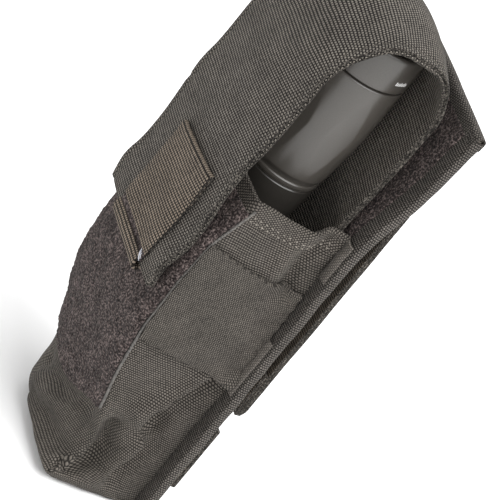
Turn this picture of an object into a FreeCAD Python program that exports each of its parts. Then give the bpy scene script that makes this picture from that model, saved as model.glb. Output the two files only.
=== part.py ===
"""Tactical flashlight carried head up in its nylon belt pouch.

Millimetres. The light's axis is the Z axis, the pouch stands on z = 0, its front looks along -Y and
its back, which lies against the wearer, along +Y.
"""
import FreeCAD, Part
import math
import os

from FreeCAD import Vector

# ---- driving dimensions: flashlight --------------------------------------------------------------
LIGHT_BOTTOM = 21.4
LIGHT_TOP = 171.4
RIM_R = 15.1
GROOVE_R = 14.9
GROOVE_Z = 158.9
HEAD_KINK_R = 14.85
HEAD_KINK_Z = 139.9
HEAD_FOOT_R = 13.0
HEAD_FOOT_Z = 121.6
HEAD_RING_R = 12.6
HEAD_BOTTOM_Z = 117.4
FACET_COUNT = 6
FACET_FIRST_DEG = 2.0
FACET_TOP_Z = 154.6
FACET_FOOT_Z = 124.4
TUBE_R = 11.4
TUBE_BORE_R = 9.6
CELL_R = 9.3
CELL_LENGTH = 65.0
CELL_BOTTOM_Z = 42.4
TAIL_CAP_R = 12.0
TAIL_CAP_TOP_Z = 41.4
BUTTON_TRAVEL = 1.6
RUNNING_GAP = 0.05

# ---- driving dimensions: pouch -------------------------------------------------------------------
HALF_DEPTH = 29.6
HALF_WIDTH = 25.0
PANEL_HALF_WIDTH = 30.0
CLOTH = 1.6
MOUTH_Z = 117.0
BACK_FACE_Y = 18.4
BOARD = 2.4
PATCH = 1.2
STRAP_PLY = 1.5
LINING_PLY = 1.1
FLAP_TOP_Z = 182.2
FLAP_END_Z = 78.0
FLAP_HINGE_Z = 166.5
FLAP_HINGE_CLEARANCE = 0.4
TAIL_FACE_Y = 15.6
TAIL_FOOT_Z = 60.0
TAB_WIDTH = 27.5
TAB_OFFSET_X = 3.5
TAB_FOOT_Z = 82.5
TAB_TOP_Z = 114.0
BELT_STRAP_TOP_Z = 138.4
BELT_STRAP_FOOT_Z = 44.2
BELT_PLY = 2.2
WEBBING = 25.4
WEBBING_FOOT_Z = 15.2

# Side profile of the pouch's front, outside face, as (y, z) from the mouth down to the slack bottom.
FRONT_PROFILE = [
    (-15.5, MOUTH_Z), (-22.0, 99.0), (-23.0, 75.0), (-19.5, 50.0),
    (-15.5, 35.0), (-18.0, 18.0), (-16.0, 5.0), (-11.0, 0.0),
]
# Inside face of the back board, as (y, z): upright behind the pouch, then leaning back above it.
BOARD_PROFILE = [(BACK_FACE_Y, 0.0), (BACK_FACE_Y, 116.0), (BACK_FACE_Y + 5.8, 142.0),
                 (BACK_FACE_Y + 8.2, 165.7)]
BOARD_TOP_Z = BOARD_PROFILE[-1][1]


os.makedirs("parts", exist_ok=True)


# ---- helpers -------------------------------------------------------------------------------------
def export(name, shape):
    """Writes one named piece."""
    shape.exportStep("parts/" + name + ".step")


def revolve(profile):
    """Solid of revolution about Z from a closed outline of (radius, z) points."""
    points = [Vector(r, 0, z) for r, z in profile]
    face = Part.Face(Part.makePolygon(points + points[:1]))
    return face.revolve(Vector(0, 0, 0), Vector(0, 0, 1), 360)


def tube(outer_r, inner_r, low_z, high_z):
    """Plain ring about Z."""
    return revolve([(inner_r, low_z), (outer_r, low_z), (outer_r, high_z), (inner_r, high_z)])


def disc(radius, low_z, high_z):
    """Solid cylinder about Z."""
    return Part.makeCylinder(radius, high_z - low_z, Vector(0, 0, low_z))


def block(low, high):
    """Box between two corners."""
    return Part.makeBox(high[0] - low[0], high[1] - low[1], high[2] - low[2], Vector(*low))


def plate(outline, low_x, high_x):
    """Extrudes a closed (y, z) outline along X."""
    points = [Vector(low_x, y, z) for y, z in outline]
    return Part.Face(Part.makePolygon(points + points[:1])).extrude(Vector(high_x - low_x, 0, 0))


def profile_y(profile, z):
    """y of a (y, z) profile at one height."""
    for (y0, z0), (y1, z1) in zip(profile, profile[1:]):
        if min(z0, z1) <= z <= max(z0, z1):
            return y0 + (y1 - y0) * (z - z0) / (z1 - z0)
    raise ValueError("height outside the profile")


def skin(profile, low_z, high_z, near, far, low_x, high_x):
    """Layer that follows a (y, z) profile between two heights, from offset near to offset far in y."""
    heights = sorted({low_z, high_z} | {z for _, z in profile if low_z < z < high_z})
    line = [(profile_y(profile, z), z) for z in heights]
    outline = [(y + near, z) for y, z in line] + [(y + far, z) for y, z in reversed(line)]
    return plate(outline, low_x, high_x)


def both_sides(name, shape):
    """Exports a right-hand piece and its mirror image."""
    export(name + "_right", shape)
    export(name + "_left", shape.mirror(Vector(0, 0, 0), Vector(1, 0, 0)))


def coil(radius, wire_r, low_z, high_z, turns):
    """Compression spring between two heights."""
    height = high_z - low_z - 2 * wire_r
    path = Part.makeHelix(height / turns, height, radius)
    path.translate(Vector(0, 0, low_z + wire_r))
    start = Vector(radius, 0, low_z + wire_r)
    section = Part.Wire(Part.makeCircle(wire_r, start, Vector(0, 1, 0)))
    return Part.Wire(path).makePipeShell([section], True, True)


# ---- flashlight head -----------------------------------------------------------------------------
NECK_R = 13.5
NECK_TOP_Z = GROOVE_Z + 3.9
LENS_FOOT_Z = NECK_TOP_Z + 0.5
LENS_THICKNESS = 2.0
LENS_R = 13.3
REFLECTOR_R = 12.2
LED_Z = 137.4
DRIVER_R = 8.8
PILL_FOOT_Z = 112.8
SPIGOT_TOP_Z = HEAD_BOTTOM_Z + 4.4
CELL_TOP_Z = CELL_BOTTOM_Z + CELL_LENGTH
BATTERY_CAP_TOP_Z = CELL_TOP_Z + 1.4


def bezel_ring():
    """Front ring: smooth outside, threaded bore, lens seat and a flared mouth."""
    mouth_r = 12.4
    bore_r = NECK_R + RUNNING_GAP
    seat_z = LENS_FOOT_Z + LENS_THICKNESS
    outline = [
        (bore_r, GROOVE_Z + 0.25), (GROOVE_R - 0.35, GROOVE_Z + 0.25), (GROOVE_R, GROOVE_Z + 0.6),
        (RIM_R, LIGHT_TOP - 1.2), (RIM_R - 0.35, LIGHT_TOP - 0.35), (RIM_R - 0.9, LIGHT_TOP),
        (mouth_r + 1.3, LIGHT_TOP), (mouth_r + 0.9, LIGHT_TOP - 0.5), (mouth_r, seat_z + 1.4),
        (mouth_r, seat_z), (bore_r, seat_z),
    ]
    return revolve(outline)


def head_shell():
    """Head with six long flat facets that fade out at both ends, a ring at its foot and a neck on top."""
    bore_r = REFLECTOR_R + 0.1
    pill_bore_r = 11.3
    outline = [
        (pill_bore_r, HEAD_BOTTOM_Z), (HEAD_RING_R - 0.5, HEAD_BOTTOM_Z),
        (HEAD_RING_R - 0.5, HEAD_BOTTOM_Z + 0.6), (HEAD_RING_R, HEAD_BOTTOM_Z + 0.9),
        (HEAD_RING_R, HEAD_BOTTOM_Z + 1.9), (HEAD_RING_R - 0.4, HEAD_BOTTOM_Z + 2.2),
        (HEAD_RING_R - 0.4, HEAD_FOOT_Z - 1.1), (HEAD_FOOT_R, HEAD_FOOT_Z),
        (HEAD_KINK_R, HEAD_KINK_Z), (GROOVE_R, GROOVE_Z - 0.6), (GROOVE_R - 0.35, GROOVE_Z - 0.25),
        (NECK_R, GROOVE_Z - 0.25), (NECK_R, NECK_TOP_Z - RUNNING_GAP), (bore_r, NECK_TOP_Z - RUNNING_GAP),
        (bore_r, LED_Z + 0.2), (pill_bore_r, LED_Z + 0.2),
    ]
    shell = revolve(outline)
    foot_share = (FACET_FOOT_Z - HEAD_FOOT_Z) / (HEAD_KINK_Z - HEAD_FOOT_Z)
    foot_r = HEAD_FOOT_R + (HEAD_KINK_R - HEAD_FOOT_R) * foot_share
    for index in range(FACET_COUNT):
        cutter = Part.Face(Part.makePolygon([
            Vector(foot_r, -15, FACET_FOOT_Z), Vector(GROOVE_R, -15, FACET_TOP_Z),
            Vector(GROOVE_R + 6, -15, FACET_TOP_Z), Vector(foot_r + 6, -15, FACET_FOOT_Z),
            Vector(foot_r, -15, FACET_FOOT_Z),
        ])).extrude(Vector(0, 30, 0))
        angle = FACET_FIRST_DEG + index * 360.0 / FACET_COUNT
        cutter.rotate(Vector(0, 0, 0), Vector(0, 0, 1), angle)
        shell = shell.cut(cutter)
    return shell


def reflector():
    """Parabolic cup with a flange that sits in the head's bore under the lens."""
    foot_z = LED_Z + 1.9
    top_z = NECK_TOP_Z - RUNNING_GAP
    inner = []
    for step in range(9):
        z = foot_z + (top_z - foot_z) * step / 8
        inner.append((3.4 + 8.2 * math.sqrt((z - foot_z) / (top_z - foot_z)), z))
    outer = [(REFLECTOR_R, top_z), (REFLECTOR_R, top_z - 12.0), (6.4, foot_z)]
    return revolve(inner + outer)


def led_emitter():
    """Light chip with its dome."""
    chip = block((-1.75, -1.75, LED_Z + 1.6), (1.75, 1.75, LED_Z + 2.3))
    dome = Part.makeSphere(1.5, Vector(0, 0, LED_Z + 2.3), Vector(0, 0, 1), 0, 90, 360)
    return chip.fuse(dome)


def heat_pill():
    """Brass holder: a skirt round the driver, a solid head, and a flat top for the light chip's board."""
    skirt_r = TUBE_BORE_R - 0.1
    return revolve([
        (DRIVER_R, PILL_FOOT_Z), (skirt_r, PILL_FOOT_Z), (skirt_r, SPIGOT_TOP_Z + 0.2),
        (11.25, SPIGOT_TOP_Z + 0.2), (11.25, LED_Z), (0, LED_Z), (0, PILL_FOOT_Z + 8.0),
        (DRIVER_R, PILL_FOOT_Z + 8.0),
    ])


export("bezel_ring", bezel_ring())
export("head_shell", head_shell())
export("lens", disc(LENS_R, LENS_FOOT_Z, LENS_FOOT_Z + LENS_THICKNESS))
export("lens_seal", tube(LENS_R, REFLECTOR_R, NECK_TOP_Z + 0.02, LENS_FOOT_Z))
export("reflector", reflector())
export("led_emitter", led_emitter())
export("led_board", disc(8.0, LED_Z, LED_Z + 1.6))
export("heat_pill", heat_pill())
export("driver_board", disc(DRIVER_R, PILL_FOOT_Z + 0.2, PILL_FOOT_Z + 1.8))
export("driver_spring", coil(3.0, 0.4, BATTERY_CAP_TOP_Z, PILL_FOOT_Z + 0.2, 3))


# ---- flashlight body -----------------------------------------------------------------------------
TAIL_NECK_R = 10.6
TAIL_NECK_FOOT_Z = 30.4
TAIL_SEAL_Z = 38.6
SPIGOT_R = 11.2
HEAD_SEAL_Z = HEAD_BOTTOM_Z + 1.6
SEAL_HEIGHT = 1.0
SEAL_DEPTH = 0.6
RETAINER_FOOT_Z = 29.0
SWITCH_R = 9.2
SWITCH_FOOT_Z = 30.5
SWITCH_TOP_Z = 37.0


def seal_groove(radius, z):
    """Outline points of a groove for an O-ring, going up a cylinder."""
    return [(radius, z - 0.05), (radius - SEAL_DEPTH - 0.05, z - 0.05),
            (radius - SEAL_DEPTH - 0.05, z + SEAL_HEIGHT + 0.05), (radius, z + SEAL_HEIGHT + 0.05)]


def body_tube():
    """Battery tube: threaded foot for the cap, grip grooves, cone and collar, and a spigot for the head."""
    collar_r = 12.3
    collar_foot_z = HEAD_BOTTOM_Z - 4.2
    grip_top_z = 96.0
    groove_pitch = 6.0
    groove_depth = 0.5
    foot_z = TAIL_CAP_TOP_Z + 0.3
    outline = [(TUBE_BORE_R, TAIL_NECK_FOOT_Z), (TAIL_NECK_R, TAIL_NECK_FOOT_Z)]
    outline += seal_groove(TAIL_NECK_R, TAIL_SEAL_Z)
    outline += [(TAIL_NECK_R, foot_z), (TUBE_R, foot_z)]
    z = TAIL_CAP_TOP_Z + groove_pitch
    while z < grip_top_z:
        outline += [(TUBE_R, z), (TUBE_R - groove_depth, z + 0.4), (TUBE_R - groove_depth, z + 1.0),
                    (TUBE_R, z + 1.4)]
        z += groove_pitch
    outline += [
        (TUBE_R, 106.0), (collar_r, collar_foot_z), (collar_r, HEAD_BOTTOM_Z - 0.1),
        (SPIGOT_R, HEAD_BOTTOM_Z - 0.1),
    ]
    outline += seal_groove(SPIGOT_R, HEAD_SEAL_Z)
    outline += [(SPIGOT_R, SPIGOT_TOP_Z), (TUBE_BORE_R, SPIGOT_TOP_Z)]
    return revolve(outline)


def tail_cap():
    """Cap over the tube's foot, with a shroud that keeps the button off the ground and a ribbed grip."""
    bore_r = TAIL_NECK_R + RUNNING_GAP
    floor_z = LIGHT_BOTTOM + 3.6
    ledge_z = floor_z + 1.2
    cap = revolve([
        (8.2, LIGHT_BOTTOM), (TAIL_CAP_R - 0.8, LIGHT_BOTTOM), (TAIL_CAP_R, LIGHT_BOTTOM + 0.8),
        (TAIL_CAP_R, TAIL_CAP_TOP_Z - 0.6), (TAIL_CAP_R - 0.6, TAIL_CAP_TOP_Z), (bore_r, TAIL_CAP_TOP_Z),
        (bore_r, TAIL_NECK_FOOT_Z - 0.2), (SWITCH_R, TAIL_NECK_FOOT_Z - 0.2), (SWITCH_R, ledge_z),
        (6.6, ledge_z), (6.6, floor_z), (8.2, floor_z),
    ])
    rib_count = 24
    flute_r = 0.7
    for index in range(rib_count):
        flute = Part.makeCylinder(flute_r, 12.0, Vector(TAIL_CAP_R + 0.35, 0, LIGHT_BOTTOM + 4.5))
        flute.rotate(Vector(0, 0, 0), Vector(0, 0, 1), index * 360.0 / rib_count)
        cap = cap.cut(flute)
    return cap


BUTTON_FLANGE_Z = LIGHT_BOTTOM + 4.85
BUTTON_TOP_Z = BUTTON_FLANGE_Z + 0.9


def tail_button():
    """Rubber boot: domed button with a flange that keeps it inside the cap."""
    face_z = LIGHT_BOTTOM + 1.2
    return revolve([
        (0, face_z), (4.4, face_z + 0.3), (6.0, face_z + 1.2), (6.4, face_z + 2.0), (6.4, BUTTON_FLANGE_Z),
        (8.8, BUTTON_FLANGE_Z), (8.8, BUTTON_TOP_Z), (0, BUTTON_TOP_Z),
    ])


def switch_module():
    """Click switch: housing with a blind bore for the plunger."""
    return disc(SWITCH_R, SWITCH_FOOT_Z, SWITCH_TOP_Z).cut(disc(2.55, SWITCH_FOOT_Z, SWITCH_TOP_Z - 1.6))


export("body_tube", body_tube())
export("battery_cell", disc(CELL_R, CELL_BOTTOM_Z, CELL_TOP_Z))
export("battery_cap", disc(2.8, CELL_TOP_Z, BATTERY_CAP_TOP_Z))
export("head_seal", tube(SPIGOT_R, SPIGOT_R - SEAL_DEPTH, HEAD_SEAL_Z, HEAD_SEAL_Z + SEAL_HEIGHT))
export("tail_cap", tail_cap())
export("tail_button", tail_button())
export("switch_module", switch_module())
export("switch_plunger", disc(2.5, BUTTON_TOP_Z, SWITCH_FOOT_Z + 2.6))
export("retaining_ring", tube(SWITCH_R, 5.0, RETAINER_FOOT_Z, RETAINER_FOOT_Z + 1.4))
export("tail_seal", tube(TAIL_NECK_R, TAIL_NECK_R - SEAL_DEPTH, TAIL_SEAL_Z, TAIL_SEAL_Z + SEAL_HEIGHT))
export("tail_spring", coil(4.0, 0.4, SWITCH_TOP_Z, CELL_BOTTOM_Z, 3))


# ---- pouch body ----------------------------------------------------------------------------------
def side_gusset():
    """Right side wall: its front edge follows the bulging front, its back edge meets the board."""
    outline = FRONT_PROFILE + [(BACK_FACE_Y, 0.0), (BACK_FACE_Y, MOUTH_Z)]
    return plate(outline, HALF_WIDTH - CLOTH, HALF_WIDTH)


def elastic_band():
    """Right elastic band sewn across the side wall, lower at the back than at the front."""
    fall = 5.6
    height = 38.0
    front_y, back_y = -20.6, 17.6
    top_z = 99.2
    outline = [(front_y, top_z), (back_y, top_z - fall), (back_y, top_z - fall - height),
               (front_y, top_z - height)]
    return plate(outline, HALF_WIDTH, HALF_WIDTH + 1.2)


def mouth_binding():
    """Tape folded over the mouth's raw edge, open towards the back board."""
    high_z = MOUTH_Z + 1.4
    outer = block((-HALF_WIDTH - 0.5, -16.2, MOUTH_Z), (HALF_WIDTH + 0.5, TAIL_FACE_Y - 0.4, high_z))
    hollow = block((-HALF_WIDTH + 2.1, -13.4, MOUTH_Z), (HALF_WIDTH - 2.1, TAIL_FACE_Y, high_z))
    return outer.cut(hollow)


EDGE_FOLD = 0.6


def seam_binding(board):
    """Tape folded round the board's right edge."""
    side = PANEL_HALF_WIDTH + EDGE_FOLD
    wrap = skin(BOARD_PROFILE, 1.0, BOARD_TOP_Z, -EDGE_FOLD, BOARD + EDGE_FOLD, 27.2, side)
    return wrap.cut(board)


def webbing_row():
    """Row of webbing across the back, sewn down over the edge tapes and bowed out between them."""
    lay, bow, ply = EDGE_FOLD, 1.6, 1.8
    back_y = BACK_FACE_Y + BOARD
    ends, rise = PANEL_HALF_WIDTH, 6.0
    front = [
        (-ends, lay), (-ends + rise, lay), (-ends + 2 * rise, bow), (ends - 2 * rise, bow),
        (ends - rise, lay), (ends, lay),
    ]
    outline = front + [(x, y + ply) for x, y in reversed(front)]
    points = [Vector(x, back_y + y, WEBBING_FOOT_Z) for x, y in outline]
    return Part.Face(Part.makePolygon(points + points[:1])).extrude(Vector(0, 0, WEBBING))


BOARD_SOLID = skin(BOARD_PROFILE, 0.0, BOARD_TOP_Z, 0.0, BOARD, -PANEL_HALF_WIDTH, PANEL_HALF_WIDTH)
INNER_HALF = HALF_WIDTH - CLOTH
export("back_panel", BOARD_SOLID)
export("front_panel", skin(FRONT_PROFILE, 0.0, MOUTH_Z, 0.0, CLOTH, -INNER_HALF, INNER_HALF))
BOTTOM_FRONT_Y = FRONT_PROFILE[-1][0] + CLOTH
export("bottom_panel", block((-INNER_HALF, BOTTOM_FRONT_Y, 0), (INNER_HALF, BACK_FACE_Y, CLOTH)))
export("front_loop_patch", skin(FRONT_PROFILE, 22.0, 113.0, -PATCH, 0.0, -HALF_WIDTH, HALF_WIDTH))
export("back_loop_patch", skin(BOARD_PROFILE, 70.0, 163.0, -1.0, 0.0, -22.0, 22.0))
export("mouth_binding", mouth_binding())
export("webbing_row", webbing_row())
both_sides("side_gusset", side_gusset())
both_sides("elastic_band", elastic_band())
both_sides("seam_binding", seam_binding(BOARD_SOLID))


# ---- flap ----------------------------------------------------------------------------------------
FLAP_THICKNESS = STRAP_PLY + LINING_PLY
TAB_PLY = 1.5
FLAP_FRONT_Y = -HALF_DEPTH + TAB_PLY
FLAP_BACK_Y = TAIL_FACE_Y + FLAP_THICKNESS
FLAP_FRONT_R = 18.1
FLAP_BACK_R = 12.2
FLAP_FOOT_Z = FLAP_HINGE_Z + FLAP_HINGE_CLEARANCE


def arch_edges(depth, x, end_z):
    """Edges of the flap's side line at one depth under its outside face, from front end to back foot."""
    front_y = FLAP_FRONT_Y + depth
    back_y = FLAP_BACK_Y - depth
    top_z = FLAP_TOP_Z - depth
    front_r = FLAP_FRONT_R - depth
    back_r = FLAP_BACK_R - depth
    diagonal = math.sqrt(0.5)
    front_end = Vector(x, front_y, end_z)
    front_tangent = Vector(x, front_y, top_z - front_r)
    front_middle = Vector(x, front_y + front_r * (1 - diagonal), top_z - front_r * (1 - diagonal))
    top_front = Vector(x, front_y + front_r, top_z)
    top_back = Vector(x, back_y - back_r, top_z)
    back_middle = Vector(x, back_y - back_r * (1 - diagonal), top_z - back_r * (1 - diagonal))
    back_tangent = Vector(x, back_y, top_z - back_r)
    back_foot = Vector(x, back_y, FLAP_FOOT_Z)
    edges = [
        Part.makeLine(front_end, front_tangent),
        Part.Arc(front_tangent, front_middle, top_front).toShape(),
        Part.makeLine(top_front, top_back),
        Part.Arc(top_back, back_middle, back_tangent).toShape(),
        Part.makeLine(back_tangent, back_foot),
    ]
    return edges, front_end, back_foot


def arch(outer_depth, inner_depth, low_x, high_x, end_z=FLAP_END_Z):
    """One ply of the flap between two depths."""
    outer, outer_front, outer_back = arch_edges(outer_depth, low_x, end_z)
    inner, inner_front, inner_back = arch_edges(inner_depth, low_x, end_z)
    ends = [Part.makeLine(outer_front, inner_front), Part.makeLine(outer_back, inner_back)]
    wire = Part.Wire(Part.sortEdges(outer + inner + ends)[0])
    return Part.Face(wire).extrude(Vector(high_x - low_x, 0, 0))


def pull_tab():
    """Webbing tab on the strap's end, its upper edge folded thicker for the thumb."""
    low_x = TAB_OFFSET_X - TAB_WIDTH / 2
    high_x = TAB_OFFSET_X + TAB_WIDTH / 2
    return block((low_x, -HALF_DEPTH, TAB_FOOT_Z), (high_x, FLAP_FRONT_Y, TAB_TOP_Z))


EDGE_WIDTH = 1.2
STRAP_HALF = HALF_WIDTH - EDGE_WIDTH
export("flap_strap", arch(0.0, STRAP_PLY, -STRAP_HALF, STRAP_HALF))
export("flap_lining", arch(STRAP_PLY, FLAP_THICKNESS, -STRAP_HALF, STRAP_HALF))
both_sides("flap_edge", arch(0.2, FLAP_THICKNESS - 0.2, STRAP_HALF, HALF_WIDTH))
HOOK_FACE_Y = FLAP_FRONT_Y + FLAP_THICKNESS
export("flap_hook_patch", block((-22.0, HOOK_FACE_Y, 80.0), (22.0, HOOK_FACE_Y + 1.1, 112.0)))
export("pull_tab", pull_tab())
FOLD_LOW = (-12.0, FLAP_FRONT_Y + 0.3, FLAP_END_Z - 1.8)
export("pull_tab_fold", block(FOLD_LOW, (15.0, HOOK_FACE_Y, FLAP_END_Z)))



def flap_tail():
    """Fixed end of the strap: sewn down inside the pouch between its side walls, full width above them."""
    back_y = TAIL_FACE_Y + 1.7
    shoulder_z = MOUTH_Z + 1.6
    inner_half = INNER_HALF - 0.2
    inside = block((-inner_half, TAIL_FACE_Y, TAIL_FOOT_Z), (inner_half, back_y, shoulder_z))
    above = block((-HALF_WIDTH, TAIL_FACE_Y, shoulder_z), (HALF_WIDTH, back_y, FLAP_HINGE_Z - 0.1))
    return inside.fuse(above)


export("flap_tail", flap_tail())


# ---- belt loop on the back -----------------------------------------------------------------------
BOARD_BACK_Y = BACK_FACE_Y + BOARD
BELT_INNER_Y = HALF_DEPTH - BELT_PLY
FOLD_PLY = 1.6
TONGUE_TOP_Z = 62.0


def belt_loop():
    """Outer ply of the belt strap, hanging from its top seam and rounded where it folds back below."""
    fold_r = (BELT_PLY + FOLD_PLY) / 2
    centre_z = BELT_STRAP_FOOT_Z + fold_r
    inner = Vector(-HALF_WIDTH, BELT_INNER_Y, centre_z)
    fold_back = Vector(-HALF_WIDTH, HALF_DEPTH - 2 * fold_r, centre_z)
    fold_foot = Vector(-HALF_WIDTH, HALF_DEPTH - fold_r, BELT_STRAP_FOOT_Z)
    outer = Vector(-HALF_WIDTH, HALF_DEPTH, centre_z)
    top_outer = Vector(-HALF_WIDTH, HALF_DEPTH, BELT_STRAP_TOP_Z)
    top_inner = Vector(-HALF_WIDTH, BELT_INNER_Y, BELT_STRAP_TOP_Z)
    wire = Part.Wire([
        Part.makeLine(inner, fold_back), Part.Arc(fold_back, fold_foot, outer).toShape(),
        Part.makeLine(outer, top_outer), Part.makeLine(top_outer, top_inner),
        Part.makeLine(top_inner, inner),
    ])
    return Part.Face(wire).extrude(Vector(2 * HALF_WIDTH, 0, 0))


def belt_anchor():
    """Sewn fold between the leaning board and the strap's top, behind the strap."""
    low_z, high_z = 129.0, BELT_STRAP_TOP_Z
    low_y = profile_y(BOARD_PROFILE, low_z) + BOARD
    high_y = profile_y(BOARD_PROFILE, high_z) + BOARD
    face_y = BELT_INNER_Y - 0.1
    outline = [(low_y, low_z), (face_y, low_z), (face_y, high_z), (high_y, high_z)]
    return plate(outline, -HALF_WIDTH, HALF_WIDTH)


def bartacks():
    """Dense stitch bars at the mouth's two back corners."""
    low_z, high_z = MOUTH_Z - 3.4, MOUTH_Z - 0.8
    right = block((25.2, BACK_FACE_Y - 0.6, low_z), (27.0, BACK_FACE_Y, high_z))
    left = right.mirror(Vector(0, 0, 0), Vector(1, 0, 0))
    return Part.makeCompound([right, left])


FOLD_LOW_Z = BELT_STRAP_FOOT_Z + (BELT_PLY + FOLD_PLY) / 2
FOLD_FACE_Y = BELT_INNER_Y - FOLD_PLY
TONGUE_FACE_Y = FOLD_FACE_Y - 1.8
TAPE = 0.8
TAPE_HALF = 20.0
TAPE_LOW_Z = FOLD_LOW_Z + 2.0
TAPE_TOP_Z = TONGUE_TOP_Z - 2.0


def back_layer(half_width, low_y, high_y, low_z, high_z):
    """Flat layer across the back."""
    return block((-half_width, low_y, low_z), (half_width, high_y, high_z))


export("belt_loop", belt_loop())
export("belt_loop_fold", back_layer(HALF_WIDTH, FOLD_FACE_Y, BELT_INNER_Y, FOLD_LOW_Z, TONGUE_TOP_Z))
export("belt_loop_hook", back_layer(TAPE_HALF, FOLD_FACE_Y - TAPE, FOLD_FACE_Y, TAPE_LOW_Z, TAPE_TOP_Z))
TONGUE_HIGH_Z = TONGUE_TOP_Z - 1.0
TONGUE_TAPE_Y = TONGUE_FACE_Y + TAPE
export("belt_tongue", back_layer(HALF_WIDTH, BOARD_BACK_Y, TONGUE_FACE_Y, BELT_STRAP_FOOT_Z, TONGUE_HIGH_Z))
export("belt_tongue_loop", back_layer(TAPE_HALF, TONGUE_FACE_Y, TONGUE_TAPE_Y, TAPE_LOW_Z, TAPE_TOP_Z))
export("belt_anchor", belt_anchor())
export("bartacks", bartacks())
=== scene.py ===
"""Tactical flashlight carried head up in its belt pouch: fabric, webbing, fuzz, metal and the studio.

Places are worked out in millimetres, with the light's axis as Z and the pouch's foot at zero, and are
turned to metres when a mesh is made.
"""
import bpy
import math
import numpy as np

from mathutils import Matrix, Vector, noise


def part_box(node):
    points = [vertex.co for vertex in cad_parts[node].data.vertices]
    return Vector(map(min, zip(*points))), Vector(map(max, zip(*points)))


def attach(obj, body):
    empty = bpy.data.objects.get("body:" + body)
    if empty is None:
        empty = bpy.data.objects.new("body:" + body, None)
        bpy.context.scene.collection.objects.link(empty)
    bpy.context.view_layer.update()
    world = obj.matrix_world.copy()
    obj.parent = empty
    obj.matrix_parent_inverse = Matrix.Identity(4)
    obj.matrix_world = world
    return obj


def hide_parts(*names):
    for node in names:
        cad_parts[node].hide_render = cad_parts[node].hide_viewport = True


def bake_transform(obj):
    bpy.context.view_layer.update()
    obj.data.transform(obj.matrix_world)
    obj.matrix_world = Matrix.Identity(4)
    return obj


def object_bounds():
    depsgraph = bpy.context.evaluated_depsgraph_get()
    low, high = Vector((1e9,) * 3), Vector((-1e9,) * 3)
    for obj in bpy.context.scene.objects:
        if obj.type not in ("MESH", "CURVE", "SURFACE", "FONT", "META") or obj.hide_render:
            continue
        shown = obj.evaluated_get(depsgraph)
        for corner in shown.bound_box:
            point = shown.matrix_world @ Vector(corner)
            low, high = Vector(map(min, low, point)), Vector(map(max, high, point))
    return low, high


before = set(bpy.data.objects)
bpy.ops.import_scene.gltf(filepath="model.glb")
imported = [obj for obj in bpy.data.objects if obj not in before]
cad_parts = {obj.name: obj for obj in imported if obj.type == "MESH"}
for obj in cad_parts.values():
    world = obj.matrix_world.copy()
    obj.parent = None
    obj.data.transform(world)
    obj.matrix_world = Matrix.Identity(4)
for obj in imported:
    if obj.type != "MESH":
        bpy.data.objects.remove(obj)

bl_info = {
    "name": "Flashlight in Belt Pouch",
    "version": (1, 0, 0),
    "blender": (4, 5, 0),
    "location": "3D View > Sidebar > Pouch",
    "description": "Builds a faceted flashlight in its nylon belt pouch, piece by piece",
    "category": "Object",
}

CAD_LOW, CAD_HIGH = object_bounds()
MM = 0.001


def node_size(node, axis):
    """Lowest and highest place of a CAD node along one axis, in millimetres."""
    low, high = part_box(node)
    return low[axis] / MM, high[axis] / MM


LIGHT_TOP = node_size("bezel_ring", 2)[1]
GROOVE_Z = node_size("bezel_ring", 2)[0] - 0.25
HEAD_FOOT = node_size("head_shell", 2)[0]
LIGHT_FOOT = node_size("tail_cap", 2)[0]
MOUTH_Z = node_size("side_gusset_right", 2)[1]
BOARD_HALF = node_size("back_panel", 0)[1]
POUCH_HALF = node_size("side_gusset_right", 0)[1]
BOARD_FACE = node_size("back_panel", 1)[0]


# ---- settings shown in the sidebar ---------------------------------------------------------------
def colour_setting(name, about, value):
    """Colour picker."""
    return bpy.props.FloatVectorProperty(
        name=name, description=about, subtype="COLOR", size=3, min=0.0, max=1.0, default=value)


def length_setting(name, about, value, high=0.05):
    """Length in metres."""
    return bpy.props.FloatProperty(
        name=name, description=about, subtype="DISTANCE", unit="LENGTH", precision=4, min=0.0, max=high,
        default=value)


def share_setting(name, about, value):
    """Share from none to all."""
    return bpy.props.FloatProperty(
        name=name, description=about, subtype="FACTOR", min=0.0, max=1.0, default=value)


class StudioSettings(bpy.types.PropertyGroup):
    """Floor, lights and lens."""
    floor_colour: colour_setting("Floor", "Colour of the floor and of the room round it", (0.93, 0.93, 0.93))
    room_light: bpy.props.FloatProperty(
        name="Room light", description="Strength of the even light of the room", min=0.0, max=5.0,
        default=0.80)
    key_power: bpy.props.FloatProperty(
        name="Key light", description="Power of the large soft light", subtype="POWER", min=0.0, max=500.0,
        default=24.0)
    fill_power: bpy.props.FloatProperty(
        name="Fill light", description="Power of the light from the front left", subtype="POWER", min=0.0,
        max=500.0, default=4.0)
    lens: bpy.props.FloatProperty(
        name="Lens", description="Focal length of the camera", subtype="DISTANCE_CAMERA", min=20.0, max=400.0,
        default=227.285)


class LightSettings(bpy.types.PropertyGroup):
    """Flashlight's finishes."""
    coat_colour: colour_setting("Anodising", "Colour of the anodised metal", (0.052, 0.047, 0.041))
    coat_roughness: share_setting("Anodising roughness", "Roughness of the anodised metal", 0.32)
    mark_colour: colour_setting("Index marks", "Colour of the marks on the front ring", (0.82, 0.82, 0.80))
    mark_count: bpy.props.IntProperty(
        name="Index marks", description="Number of marks on the front ring", min=1, max=24, default=8)


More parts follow.
